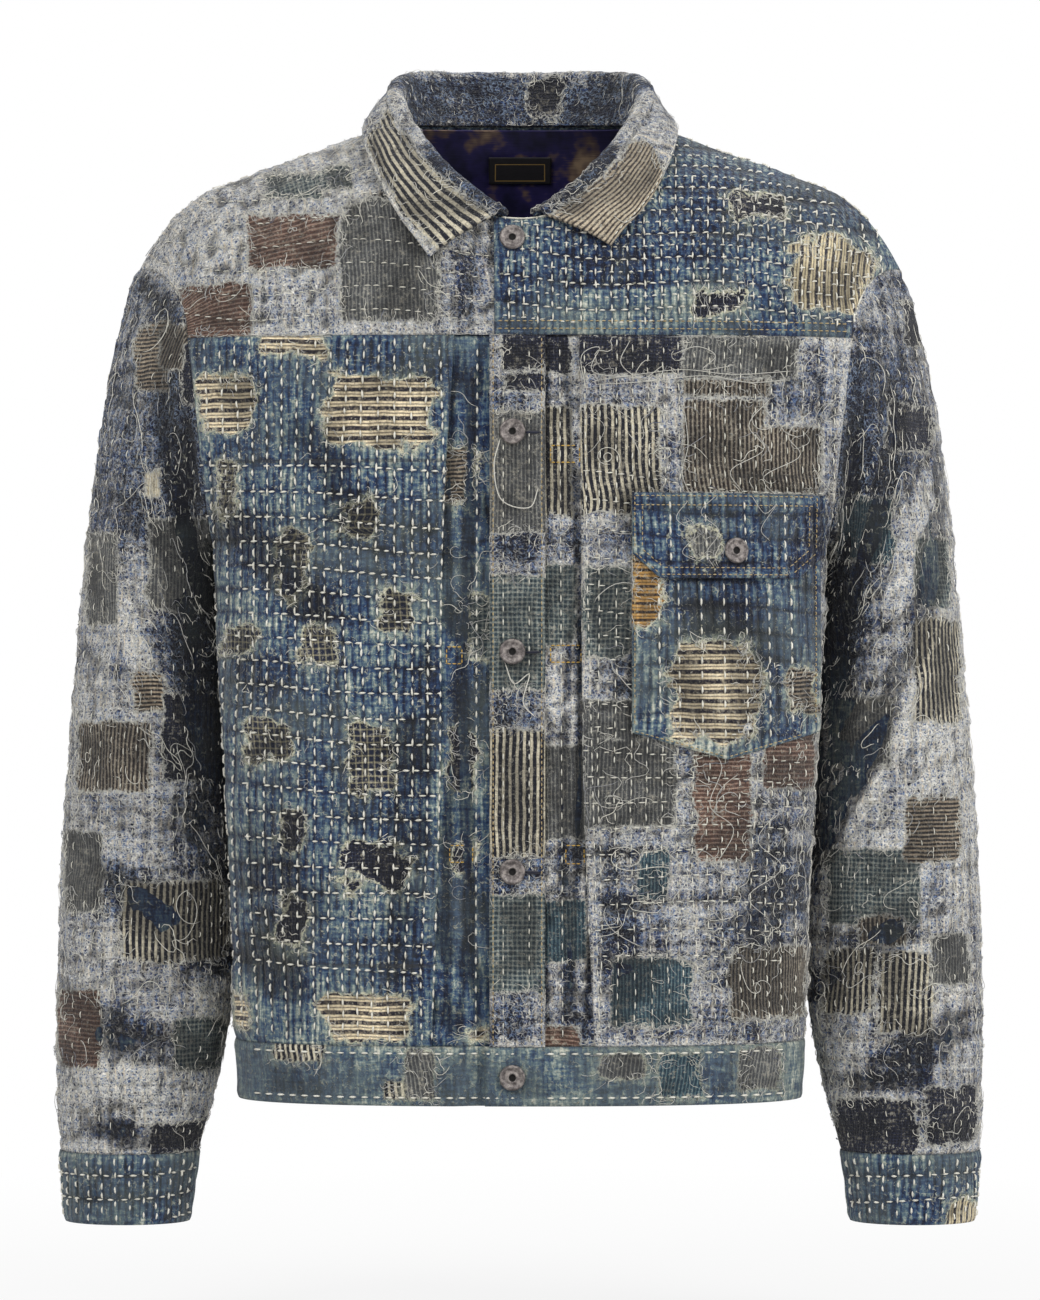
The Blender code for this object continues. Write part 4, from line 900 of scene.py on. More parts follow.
def strays(name, cloth, count, seed, radius=0.26, length=(14.0, 42.0), box=None):
    """Long threads that have worked loose and wander over the cloth in slow curls."""
    draw = np.random.default_rng(seed)
    rows, columns = cloth.edge.shape
    a, b = draw.uniform(0.04, 0.96, (2, 6 * count)) * np.array([[rows], [columns]])
    if box:
        x, z = cloth.at(a, b)[0][:, [0, 2]].T
        inside = (x > box[0]) & (x < box[1]) & (z > box[2]) & (z < box[3])
        a, b = a[inside], b[inside]
    a, b = a[:count], b[:count]
    count = len(a)
    heading, bend = draw.uniform(0, 2 * np.pi, count), draw.normal(0, 4.0, count)
    reach = draw.uniform(*length, count)
    points, normals = wander(cloth, a, b, heading, reach, bend, draw, 13, (0.2, 1.1), (3, 16))
    points = points + normals * 0.3
    tone = np.clip(draw.normal(0.78, 0.22, count), 0, 1)
    threads(name, cloth, points, normals, radius * draw.uniform(0.7, 1.3, count), loose_cotton, tone)


def curve_through(points, places):
    """Catmull-Rom curves through rows of points, read at places counted in points."""
    before, after = 2 * points[:, :1] - points[:, 1:2], 2 * points[:, -1:] - points[:, -2:-1]
    padded = np.concatenate([before, points, after], 1)
    low = np.clip(places.astype(int), 0, points.shape[1] - 2)
    t = (places - low)[:, None]
    a, b, c, d = (padded[:, low + k] for k in range(4))
    return 0.5 * (2 * b + (c - a) * t + (2 * a - 5 * b + 4 * c - d) * t**2 + (3 * b - a - 3 * c + d) * t**3)


def trailing(name, cloth, curves, radius, tone=0.9):
    """Long loose threads that lie over a piece along curves, each through five places of x, z and lift."""
    path = curve_through(np.array(curves, float), np.linspace(0, 4, 24))
    points, normals = cloth.at(*cloth.find(path[..., 0], path[..., 1]))
    threads(name, cloth, points + normals * (path[..., 2:] + 0.3), normals, radius, loose_cotton, tone)


# ---------------------------------------------------------------- the two fronts themselves
def front_grid(side, start_x, end_x, width, step=2.5):
    """Points of a strip of the front from the waistband to the yoke, between two lines given by x at each
    height; None is the side seam or, above the underarm, the armhole."""
    rows = WAIST_Z + (YOKE_Z - WAIST_Z) * marks(YOKE_Z - WAIST_Z, step)
    start, end = (across_at(FRONT, x(rows) + 0 * rows, rows) if x else np.full(rows.shape, float(side))
                  for x in (start_x, end_x))
    share = marks(width, step)[:, None]
    return body(FRONT, start + (end - start) * share, height_of(rows) + 0 * share)


def pleat_line(column, lap=0.0):
    """The line along a pleat's edge, moved by lap."""
    return lambda rows: follow(PLEAT_EDGE, column, rows) + lap


def behind(points, y=-8.0, drop=0.0):
    """The body's own middle line at the height of each point, or lower by drop."""
    return points * np.array([0, 0, 1.0]) + np.array([0, y, -drop])


# Patches are kind, left, right, low, high and tear; shades are x, z, reach in x, reach in z and amount.
FRONT_QUILT = 11
RIGHT_FRONT_PATCHES = [
    ("ticking", -212, -177, -199, -163, 1.6), ("ticking", -169, -129, -150, -137, 1.4),
    ("ticking", -127, -58, -211, -165, 2.4), ("ticking", -129, -74, -602, -568, 2.2),
    ("ticking", -191, -179, -596, -573, 1.2), ("darn", -116, -97, -270, -246, 1.8),
    ("darn", -162, -139, -306, -267, 2.2), ("darn", -90, -71, -332, -303, 1.8),
    ("darn", -198, -175, -349, -330, 1.8), ("darn", -146, -121, -351, -330, 1.6),
    ("darn", -183, -150, -419, -393, 2.2), ("darn", -111, -84, -436, -393, 2.0),
    ("darn", -200, -188, -254, -220, 1.4), ("navy", -158, -142, -475, -450, 2.0),
    ("navy", -117, -73, -500, -472, 2.6), ("navy", -160, -141, -540, -509, 2.0)]
LEFT_FRONT_PATCHES = [
    ("navy", 26, 107, -163, -135, 0.4), ("grey", 107, 184, -165, -137, 0.6),
    ("cord", 107, 164, -177, -166, 0.4), ("stripe", 38, 92, -254, -184, 0.7),
    ("cord", 107, 162, -241, -180, 0.5), ("cord", 157, 199, -241, -197, 0.6),
    ("tealcheck", 41, 73, -349, -290, 0.8), ("grey", 41, 102, -460, -402, 0.7),
    ("grey", 41, 78, -403, -377, 0.7), ("brown", 115, 152, -483, -411, 0.7),
    ("brown", 160, 198, -436, -395, 0.9), ("teal", 60, 112, -591, -546, 0.8),
    ("cord", 139, 191, -587, -540, 0.9), ("teal", 78, 97, -508, -475, 0.7)]
RIGHT_FRONT_CREASES = [
    (-205, -250, -120, -330, 2.2, 11), (-190, -300, -95, -395, -1.2, 14), (-150, -180, -90, -290, 1.2, 12),
    (-60, -330, -80, -560, 1.4, 9), (-175, -420, -150, -590, 1.5, 13), (-120, -440, -115, -600, -1.2, 12),
    (-196, -540, -130, -575, 1.2, 8)]
LEFT_FRONT_CREASES = [
    (205, -255, 110, -345, 2.0, 12), (195, -320, 120, -430, -1.0, 14), (60, -270, 75, -420, 1.0, 11),
    (170, -440, 150, -600, 1.4, 12), (110, -470, 120, -600, -1.2, 13), (60, -490, 70, -600, 1.2, 10),
    (198, -480, 140, -540, 1.2, 9)]
RIGHT_FRONT_SHADES = [
    (-161, -233, 14, 25, -0.10), (-109, -377, 22, 20, -0.6), (-170, -316, 16, 16, -0.14),
    (-70, -303, 16, 14, -0.10), (-113, -468, 18, 46, -0.10), (-178, -521, 18, 56, 0.34)]
LEFT_FRONT_SHADES = [
    (62, -272, 22, 14, -0.24), (109, -399, 22, 18, -0.26), (87, -447, 10, 14, 0.18),
    (118, -520, 12, 30, -0.14), (113, -590, 26, 12, -0.18), (86, -520, 40, 34, -0.16),
    (161, -520, 14, 30, 0.14), (60, -477, 12, 12, -0.10)]
RIGHT_FRONT_ROWS, LEFT_FRONT_ROWS = (-556, -215), (-552, -226)

grid = front_grid(RIGHT, pleat_line("right_x"), None, 180)
front_right = sew(
    "front_right", "front_panel_right", grid, behind(grid), 0.0, CLOTH,
    boro("denim_front", "denim", RIGHT_FRONT_PATCHES), patches=RIGHT_FRONT_PATCHES,
    creases=RIGHT_FRONT_CREASES,
    quilt=FRONT_QUILT, quilt_rows=RIGHT_FRONT_ROWS, seed=101, cut=(-120.0, 0.0), shades=RIGHT_FRONT_SHADES)
grid = front_grid(LEFT, pleat_line("left_x"), None, 180)
front_left = sew(
    "front_left", "front_panel_left", grid, behind(grid), 0.0, CLOTH,
    boro("gauze_front", "gauze", LEFT_FRONT_PATCHES), patches=LEFT_FRONT_PATCHES, creases=LEFT_FRONT_CREASES,
    quilt=FRONT_QUILT, quilt_rows=LEFT_FRONT_ROWS, nap=0.9, seed=140, cut=(120.0, 0.0),
    shades=LEFT_FRONT_SHADES)
places = quilt_stitches(21, FRONT_QUILT, (-215, -44, -603, -138), rows=RIGHT_FRONT_ROWS)
stitched("quilting_front_right", front_right, places, keep=0.95)
places = quilt_stitches(22, FRONT_QUILT, (40, 215, -603, -138), rows=LEFT_FRONT_ROWS)
stitched("quilting_front_left", front_left, places, radius=0.5, keep=0.9)
places = rows_of(8.4, 5.0, (42, -140, 44, -300), (44, -300, 52, -600))
stitched("stitches_front_left_edge", front_left, places, radius=0.5)
frays("frays_front_right", front_right, 2.1, seed=31, lengths=(3.0, 9.0))
frays("frays_front_left", front_left, 3.0, seed=32)
curls("fuzz_front_left", front_left, 700, seed=33)
strays("strays_front_left", front_left, 240, seed=34)
strays("strays_front_right", front_right, 26, seed=35, radius=0.22, length=(8.0, 24.0))
trailing("long_threads_front_left", front_left, [
    [(44, -176, 0.4), (40, -152, 2.4), (52, -146, 2.8), (48, -162, 1.6), (84, -166, 0.6)],
    [(72, -141, 0.4), (66, -156, 2.0), (80, -166, 1.0), (94, -158, 1.6), (86, -178, 0.6)],
    [(52, -167, 0.5), (80, -163, 1.2), (108, -160, 0.8), (140, -163, 1.4), (180, -160, 0.5)],
    [(50, -170, 0.5), (84, -168, 1.0), (120, -164, 1.2), (150, -168, 0.8), (176, -166, 0.5)],
    [(100, -150, 0.4), (116, -145, 2.2), (128, -151, 2.6), (120, -160, 1.6), (140, -157, 0.6)],
    [(108, -188, 0.5), (110, -210, 1.0), (106, -228, 1.4), (112, -243, 0.5), (112, -243, 0.5)],
    [(165, -178, 0.5), (150, -196, 1.4), (160, -212, 1.2), (138, -226, 1.6), (146, -240, 0.6)],
    [(192, -186, 0.5), (176, -202, 1.5), (184, -216, 1.2), (160, -230, 1.0), (170, -244, 0.5)],
    [(60, -355, 0.5), (76, -372, 1.5), (92, -366, 1.2), (84, -384, 1.6), (104, -392, 0.5)],
    [(118, -404, 0.5), (132, -420, 1.4), (124, -446, 1.8), (140, -462, 1.2), (128, -486, 0.5)],
    [(168, -452, 0.5), (156, -470, 1.4), (172, -488, 1.6), (150, -506, 1.0), (164, -522, 0.5)],
    [(96, -476, 0.5), (110, -492, 1.2), (100, -510, 1.6), (122, -520, 0.5), (122, -520, 0.5)]], 0.3, 0.8)

# ============================================================================== pleats and placket
# Beside the opening each front is folded into a stitched-down pleat, and the left one carries a placket of
# checked cotton, double thick and topstitched along both sides. The right one ends in a hidden button band.

BAND_END_X = 5.0
PLEAT_LAP = 12.0
UNDER_FRONT = -2.9
UNDER_PLACKET = 2.2
PLEAT_ROW, TOPSTITCH_ROW, TACK_ROW = (9.5, 5.2), (3.6, 2.7), (3.3, 2.8)
RIGHT_PLEAT_PATCHES = [
    ("rib", -52, -31, -247, -210, 1.6), ("tealcheck", -34, -17, -351, -311, 1.2),
    ("navy", -47, -28, -434, -398, 1.8), ("navy", -43, -31, -489, -470, 1.2),
    ("ticking", -35, -22, -601, -593, 1.0)]
LEFT_PLEAT_PATCHES = [
    ("navy", 12, 33, -162, -135, 0.4), ("stripe", 12, 34, -256, -184, 0.6),
    ("tealcheck", 12, 37, -341, -288, 0.7),
    ("grey", 12, 44, -468, -406, 0.6), ("teal", 12, 44, -548, -508, 0.6), ("brown", 12, 39, -606, -591, 0.4)]
PLACKET_PATCHES = [
    ("navy", -12, 22, -160, -128, 0.3), ("navy", -10, 22, -174, -163, 0.3),
    ("grey", -26, 22, -267, -188, 0.5), ("tealcheck", -26, 22, -370, -295, 0.5),
    ("stripe", -26, 22, -479, -396, 0.5), ("tealcheck", -26, 22, -568, -504, 0.5)]
RIGHT_PLEAT_FOLDS = [
    (-22, -640, -21, -100, 3.2, 3.0), (-31, -640, -32, -100, -1.6, 4.5), (-41, -380, -39, -130, 2.0, 3.0),
    (-44, -620, -38, -360, 2.4, 3.0), (-50, -610, -47, -200, -1.0, 3.5)]
LEFT_PLEAT_FOLDS = [
    (24, -640, 23, -100, 2.4, 2.6), (33, -640, 30, -100, -1.4, 4.0), (40, -620, 36, -300, 1.6, 2.6)]
# The long narrow spot at x -24 on the right pleat and the one at x -18 on the placket are painted shade in
# the gap along the placket's edge.
RIGHT_PLEAT_SHADES = [(-30, -272, 16, 14, -0.18), (-50, -580, 16, 18, -0.15), (-24, -370, 5, 260, -0.3)]
LEFT_PLEAT_SHADES = [(36, -272, 22, 14, -0.26), (39, -150, 12, 12, -0.2), (26, -442, 8, 22, 0.16)]
PLACKET_SHADES = [
    (-13, -180, 16, 18, -0.22), (-8, -277, 24, 16, -0.26), (-4, -377, 20, 14, -0.24),
    (-18, -370, 4, 260, -0.25), (0, -490, 20, 16, -0.28), (-8, -582, 26, 20, -0.28)]

grid = front_grid(RIGHT, pleat_line("right_x", -PLEAT_LAP), lambda z: BAND_END_X, 62)
under = UNDER_FRONT - UNDER_PLACKET * ease(grid[..., 0], -36, -28)
pleat_right = sew(
    "pleat_right", "pleat_and_button_band_right", grid, behind(grid), under, CLOTH,
    boro("denim_pleat", "denim", RIGHT_PLEAT_PATCHES, quilted=False), patches=RIGHT_PLEAT_PATCHES,
    creases=RIGHT_PLEAT_FOLDS, seed=210, cut=(-30.0, 0.0), pale=0.3, shades=RIGHT_PLEAT_SHADES)
grid = front_grid(LEFT, lambda z: BAND_END_X + 1.5, pleat_line("left_x", PLEAT_LAP), 50)
pleat_left = sew(
    "pleat_left_front", "pleat_left", grid, behind(grid), UNDER_FRONT, CLOTH,
    boro("gauze_pleat", "gauze", LEFT_PLEAT_PATCHES, quilted=False), patches=LEFT_PLEAT_PATCHES,
    creases=LEFT_PLEAT_FOLDS, nap=0.9, seed=230, cut=(30.0, 0.0), pale=0.1, shades=LEFT_PLEAT_SHADES)
grid = front_grid(LEFT, lambda z: -20.0, lambda z: 16.5, 36.5, 1.8)
placket = sew(
    "placket", "placket_left", grid, behind(grid), 1.2, 3.4,
    boro("checked_placket", "gauze", PLACKET_PATCHES, quilted=False), patches=PLACKET_PATCHES, nap=0.6,
    seed=250, pale=-0.16, shades=PLACKET_SHADES)
stitched("stitches_pleat_right", pleat_right, rows_of(*PLEAT_ROW, (-29, -600, -28, -140)))
stitched("stitches_pleat_left", pleat_left, rows_of(*PLEAT_ROW, (28, -600, 26, -140)), radius=0.5)
places = rows_of(*TOPSTITCH_ROW, (-17.6, -603, -17.6, -138), (14.2, -603, 14.2, -138))
stitched("topstitch_placket", placket, places, tan_cotton, 0.42)
places = rows_of(8.8, 4.4, (-11, -603, -11, -138), (6, -603, 6, -138))
stitched("stitches_placket", placket, places, radius=0.45, keep=0.85)
# Worked buttonholes: one thick dark dash each, from the button's middle outwards.
places = np.array([(8.0, 8.0, 8.0), (-201.5, -345.5, -489.5), (6.5, 6.5, 6.5), (0.0, 0.2, -0.2)])
stitched("buttonholes", placket, places, dark_cotton, 1.5)
places = rows_of(*TACK_ROW, *box_of(-48, -38, -353, -342), *box_of(-46, -31, -483, -472))
stitched("bartacks_right", pleat_right, places, gold_cotton, 0.45)
places = rows_of(*TACK_ROW, *box_of(20, 39, -221, -210), *box_of(20, 40, -352, -341),
                 *box_of(30, 42, -484, -472))
stitched("bartacks_left", pleat_left, places, gold_cotton, 0.45)
trailing("loop_placket", placket, [
    [(-13, -206, 3.4), (-17, -224, 2.0), (-12, -246, 1.6), (6, -251, 2.0), (12, -238, 0.8)],
    [(-10, -352, 0.6), (-4, -366, 1.6), (6, -360, 1.2), (2, -378, 1.6), (10, -388, 0.5)]], 0.45)
frays("frays_placket", placket, 2.0, seed=41)
curls("fuzz_placket", placket, 260, seed=42)
frays("frays_pleat_right", pleat_right, 1.4, seed=43, lengths=(5.0, 16.0))
strays("strays_pleat_right", pleat_right, 16, seed=44, box=(-44, -18, -600, -150))
curls("fuzz_pleat_left", pleat_left, 260, seed=45)

# ============================================================================== yokes
# Each shoulder has a double yoke from the front seam over to the shoulder seam: patched gauze with level rows
# of stitching on the wearer's right, and quilted blue on the left, where its lower edge is topstitched twice.

RIGHT_YOKE_PATCHES = [
    ("brown", -181, -121, -92, -56, 0.6), ("brown", -227, -177, -138, -102, 0.7),
    ("grey", -118, -53, -128, -47, 0.7), ("tealcheck", -170, -131, -44, -26, 0.6),
    ("tealcheck", -131, -112, -37, -21, 0.6)]
LEFT_YOKE_PATCHES = [
    ("navy", 139, 173, -58, -42, 1.8), ("navy", 114, 147, -122, -107, 1.6),
    ("mattress", 179, 236, -121, -72, 2.6)]
# The spot at x -34 is painted shadow of the collar on the right yoke.
RIGHT_YOKE_SHADES = [
    (-105, -32, 26, 14, -0.16), (-34, -100, 19, 46, -0.5), (-157, -128, 46, 12, -0.16),
    (-91, -133, 20, 10, -0.12)]
LEFT_YOKE_SHADES = [(131, -98, 24, 12, -0.1), (122, -58, 26, 12, 0.2)]
RIGHT_YOKE_QUILT, LEFT_YOKE_QUILT = 51, 53
LEFT_YOKE_BOX = (-14, 250, -132, 36)


def above_yoke_line(face, foot, height):
    """Points above the yoke line, in columns by their foot on it."""
    return body(face, across_at(face, foot, np.full_like(foot, YOKE_Z)) + 0 * height, height + 0 * foot)


def shoulder_grid(start, end, step=2.3):
    """Points of a yoke whose columns stand on the yoke line from start to end, and the columns' feet."""
    foot = start + (end - start) * marks(abs(end - start) * 1.12, step)[:, None]
    return above_yoke_line(FRONT, foot, 1 + marks(195, step)), foot


grid, foot = shoulder_grid(4.0, -YOKE_X)
yoke_right = sew(
    "yoke_right_front", "yoke_right", grid, behind(grid, 32.0, 120.0), -3.1 * ease(foot, -46, -19), CLOTH,
    boro("gauze_yoke", "gauze", RIGHT_YOKE_PATCHES), "shoulder", patches=RIGHT_YOKE_PATCHES,
    quilt=RIGHT_YOKE_QUILT, nap=0.9, seed=310, cut=(-100.0, 470.0), pale=0.22, shades=RIGHT_YOKE_SHADES)
grid, foot = shoulder_grid(-17.0, YOKE_X)
yoke_left = sew(
    "yoke_left_front", "yoke_left", grid, behind(grid, 32.0, 120.0), 0.0, CLOTH,
    boro("denim_yoke", "denim", LEFT_YOKE_PATCHES), "shoulder", patches=LEFT_YOKE_PATCHES,
    quilt=LEFT_YOKE_QUILT, seed=330, cut=(100.0, 470.0), pale=0.3 * bell(grid[..., 2] - YOKE_Z, 16, 7) - 0.03,
    shades=LEFT_YOKE_SHADES)
places = quilt_stitches(61, RIGHT_YOKE_QUILT, (-250, 0, -134, 30), upright=None)
stitched("quilting_yoke_right", yoke_right, places, radius=0.45)
places = quilt_stitches(62, LEFT_YOKE_QUILT, LEFT_YOKE_BOX)
stitched("quilting_yoke_left", yoke_left, places, radius=0.7)
places = quilt_stitches(67, LEFT_YOKE_QUILT, LEFT_YOKE_BOX, None, (3.2, 6.4), between=0.5)
stitched("quilting_yoke_left_between", yoke_left, places, radius=0.6)
places = rows_of(4.0, 2.9, (-15, -133, 218, -133), (-15, -128, 218, -128))
stitched("topstitch_yoke_left", yoke_left, places, tan_cotton, 0.45)
frays("frays_yoke_right", yoke_right, 1.8, seed=63)
frays("frays_yoke_left", yoke_left, 1.8, seed=64)
curls("fuzz_yoke_right", yoke_right, 700, seed=65)
strays("strays_yoke_right", yoke_right, 45, seed=66)

# ============================================================================== back
# The back is one wide piece from the waistband to the shoulder seams, gauze over older denim, patched like
# the fronts and quilted in upright and level rows.

BACK_PATCHES = [
    ("stripe", -150, -84, -262, -196, 0.8), ("grey", -62, 12, -180, -118, 0.8),
    ("brown", 40, 96, -232, -172, 0.8), ("cord", 108, 172, -330, -262, 0.8),
    ("navy", -178, -132, -398, -340, 1.0), ("tealcheck", -96, -38, -396, -330, 0.8),
    ("ticking", 14, 62, -420, -362, 1.2), ("teal", 92, 150, -500, -432, 0.9),
    ("grey", -150, -92, -532, -468, 0.8), ("rib", -28, 24, -572, -520, 0.8),
    ("stripe", 60, 118, -98, -44, 0.8), ("cord", -128, -66, -86, -30, 0.7),
    ("brown", -58, -12, -486, -440, 0.9), ("ticking", 130, 176, -566, -536, 1.1),
    ("navy", 150, 192, -206, -160, 0.9),
    ("tealcheck", -186, -150, -160, -108, 0.7), ("teal", -190, -158, -600, -556, 0.9)]
BACK_CREASES = [
    (-190, -240, -90, -330, 2.4, 13), (190, -240, 80, -320, 2.4, 13), (-120, -180, 110, -200, 1.4, 18),
    (-60, -330, -80, -590, 1.8, 14), (40, -300, 60, -580, -1.4, 15), (130, -380, 120, -600, 1.8, 13),
    (-150, -420, -140, -600, -1.4, 13), (-30, -240, 40, -290, 1.2, 14), (170, -440, 90, -500, 1.2, 12)]
BACK_STEP = 4.0
BACK_QUILT = 61

foot = -YOKE_X + 2 * YOKE_X * marks(480, BACK_STEP)[:, None]
# The rows below and above the yoke line, without the close ones that each of them has there.
height = np.concatenate([height_of(WAIST_Z + (YOKE_Z - WAIST_Z) * marks(YOKE_Z - WAIST_Z, BACK_STEP))[:-4],
                         1 + marks(195, BACK_STEP)[4:]])
height = np.delete(height, 1) if len(height) % 2 == 0 else height
grid = above_yoke_line(BACK, foot, height)
back = sew(
    "back_body", "back", grid, behind(grid, -38.0, 60.0), 0.0, CLOTH,
    boro("gauze_back", "gauze", BACK_PATCHES), "shoulder", patches=BACK_PATCHES, creases=BACK_CREASES,
    quilt=BACK_QUILT, nap=0.9, seed=400)
places = quilt_stitches(71, BACK_QUILT, (-212, 212, -602, 20), (5.4, 14.0), (4.6, 14.0), (-600, -150))
stitched("quilting_back", back, places, keep=0.55, radius=0.55)
frays("frays_back", back, 8.0, seed=72)
curls("fuzz_back", back, 500, seed=73, size=(1.4, 3.2))

# ============================================================================== sleeves and cuffs
# One-piece sleeves, seamed under the arm and set into the armhole, patched on patches where they rub. Their
# cuffs are turned bands of blue denim, double thick.

# Sleeve sections from the armhole to the wrist: outer and inner line, half depth, middle, and how much of the
# armhole's own outline the section still holds.
SLEEVE = table("row outer_x outer_z inner_x inner_z half_depth mid_y hold", [
    (0, 257.0, -88, 206.6, -275.4, 84, 0, 1.00), (1, 263.0, -101, 209.0, -279.0, 82, 4, 0.86),
    (2, 268.5, -119, 209.5, -286.0, 80, 9, 0.66), (3, 275.0, -145, 208.0, -297.0, 77, 15, 0.42),
    (4, 282.0, -180, 205.5, -314.0, 74, 20, 0.22), (5, 289.5, -232, 201.5, -342.0, 71, 23, 0.08),
    (6, 296.5, -300, 198.5, -385.0, 68, 25, 0.00), (7, 303.5, -378, 195.5, -440.0, 65, 24, 0.00),
    (8, 309.0, -460, 193.0, -505.0, 61, 20, 0.00), (9, 312.0, -545, 194.0, -570.0, 56, 13, 0.00),
    (10, 312.5, -618, 203.5, -630.0, 50, 5, 0.00), (11, 310.0, -681, 216.5, -681.0, 44, 0, 0.00),
    (12, 306.0, -728, 223.0, -728.0, 41, -3, 0.00)])
WRIST_ROW, CUFF_ROW = 11, 12
# The largest folds: side, a trough between two places given by turn and row, depth and width.
SLEEVE_FOLDS = [
    (LEFT, 0.10, 4.1, 0.37, 6.0, 6.0, 17), (LEFT, 0.62, 7.0, 0.86, 8.2, 4.5, 15),
    (RIGHT, 0.34, 3.2, 0.14, 6.2, 5.0, 17), (RIGHT, 0.38, 7.4, 0.12, 8.2, 4.0, 15),
    (RIGHT, 0.64, 6.8, 0.88, 8.0, 4.5, 15)]


def run_of(line):
    """Length along one row of points."""
    return np.concatenate([[0], np.cumsum(np.linalg.norm(np.diff(line, axis=0), axis=1))])


def armhole_line(face, count=240):
    """The armhole's edge from the shoulder down to the underarm, as a function of the share of its length."""
    fine = np.concatenate([np.linspace(2, 1, count), height_of(np.linspace(YOKE_Z, UNDERARM_Z, count)[1:])])
    line = body(face, np.ones_like(fine), fine)
    run = run_of(line)
    return lambda share: np.stack([np.interp(share * run[-1], run, line[:, i]) for i in range(3)], -1)


ARMHOLE_FRONT, ARMHOLE_BACK = armhole_line(FRONT), armhole_line(BACK)


def armhole(turn):
    """The whole armhole: turn 0 is the shoulder, a quarter the front, a half the underarm."""
    turn = np.mod(turn, 1)
    share = 1 - np.abs(1 - 2 * turn)
    return np.where((turn < 0.5)[..., None], ARMHOLE_FRONT(share), ARMHOLE_BACK(share))


def oval(turn, row):
    """A sleeve section: an ellipse between the sleeve's outer and inner line."""
    outer, inner = (np.stack([follow(SLEEVE, column, row, "row") for column in columns.split()], -1)
                    for columns in ("outer_x mid_y outer_z", "inner_x mid_y inner_z"))
    angle = 2 * np.pi * turn
    depth = follow(SLEEVE, "half_depth", row, "row") * np.sin(angle)
    forward = np.stack([np.zeros_like(depth), -depth, np.zeros_like(depth)], -1)
    return (outer + inner) / 2 + (outer - inner) / 2 * np.cos(angle)[..., None] + forward


def sleeve(turn, row, side=0):
    """A sleeve's outside, drawn on the left, with one side's folds sunk into it, or smooth for side 0."""
    turn, row = np.broadcast_arrays(np.asarray(turn, float), np.asarray(row, float))
    kept = follow(SLEEVE, "hold", row, "row")[..., None]
    found = oval(turn, row) + kept * (armhole(turn) - oval(turn, np.zeros_like(row)))
    inward = unit((oval(turn, row) + oval(turn + 0.5, row)) / 2 - found)
    sunk = np.zeros(turn.shape)
    for fold_side, *ends, depth, width in SLEEVE_FOLDS:
        if fold_side == side:
            sunk = np.maximum(sunk, depth * bell(reach_from(found, *ends), 0, width))
    return found + inward * sunk[..., None]


def reach_from(points, turn_a, row_a, turn_b, row_b):
    """How far points are from the straight line between two places on the smooth sleeve."""
    start, end = (sleeve(turn, row) for turn, row in ((turn_a, row_a), (turn_b, row_b)))
    along = np.clip((points - start) @ (end - start) / ((end - start) @ (end - start)), 0, 1)
    return np.linalg.norm(points - start - along[..., None] * (end - start), axis=-1)


FAR_SIDE = 1000.0


def sleeve_grid(side, low_row, high_row, step):
    """Points all round a stretch of sleeve, from the underarm seam over the back and the front to the seam
    again, in rows evenly spaced along the front line; mirrored for the right arm. Then their middle line, and
    the places by which patches lie: x and z, with FAR_SIDE more in x on the side that faces away."""
    fine = np.linspace(low_row, high_row, 400)
    run = run_of(sleeve(np.full(400, 0.25), fine))
    rows = np.interp(marks(run[-1], step) * run[-1], run, fine)
    girth = run_of(sleeve(np.linspace(0, 1, 200), (low_row + high_row) / 2))[-1]
    turns = np.linspace(-0.5, 0.5, 2 * int(girth / step / 2) + 1)[:, None]
    points = sleeve(turns + 0 * rows, rows + 0 * turns, side) * np.array([side, 1.0, 1.0])
    places = points[..., 0] + FAR_SIDE * ((turns < 0) & (turns > -0.44)), points[..., 2]
    return points, points[:-1].mean(0) + 0 * points, places


SLEEVE_PATCHES = {
    RIGHT: [
        ("rib", -257, -234, -171, -126, 0.8), ("cord", -241, -220, -158, -130, 0.7),
        ("navy", -224, -206, -180, -140, 0.8), ("cream", -249, -240, -241, -225, 0.6),
        ("grey", -248, -202, -319, -256, 0.7), ("grey", -292, -269, -327, -267, 0.7),
        ("navy", -238, -194, -432, -374, 0.8), ("cord", -297, -247, -439, -392, 0.7),
        ("rib", -258, -238, -386, -359, 0.7), ("grey", -307, -280, -520, -466, 0.8),
        ("stripe", -266, -197, -552, -499, 0.9), ("brown", -311, -281, -624, -572, 0.8),
        ("tealcheck", -231, -200, -625, -590, 0.7), ("navy", -247, -208, -681, -660, 0.9),
        ("stripe", 716, 764, -300, -236, 0.8), ("brown", 742, 790, -420, -360, 0.9),
        ("ticking", 730, 772, -540, -486, 1.2), ("grey", 700, 738, -622, -566, 0.8),
        ("navy", 752, 792, -660, -612, 0.9), ("tealcheck", 752, 790, -214, -160, 0.7)],
    LEFT: [
        ("mattress", 243, 253, -89, -67, 0.8), ("navy", 258, 276, -140, -110, 0.9),
        ("navy", 245, 276, -211, -180, 1.0), ("teal", 212, 249, -285, -242, 0.7),
        ("tealcheck", 264, 289, -315, -269, 0.7), ("stripe", 264, 296, -392, -323, 0.8),
        ("grey", 206, 248, -423, -376, 0.7), ("rib", 257, 296, -486, -443, 0.7),
        ("tealcheck", 206, 267, -528, -477, 0.7), ("stripe", 203, 236, -587, -544, 0.8),
        ("stripe", 240, 276, -600, -546, 0.8), ("grey", 275, 302, -568, -535, 0.7),
        ("cord", 226, 258, -542, -522, 0.7), ("navy", 213, 265, -684, -644, 1.0),
        ("navy", 271, 307, -674, -637, 1.0), ("cord", 1222, 1268, -318, -250, 0.8),
        ("grey", 1240, 1290, -436, -376, 0.9), ("stripe", 1226, 1276, -560, -500, 0.8),
        ("brown", 1252, 1296, -640, -590, 0.9), ("teal", 1214, 1248, -220, -172, 0.8)]}
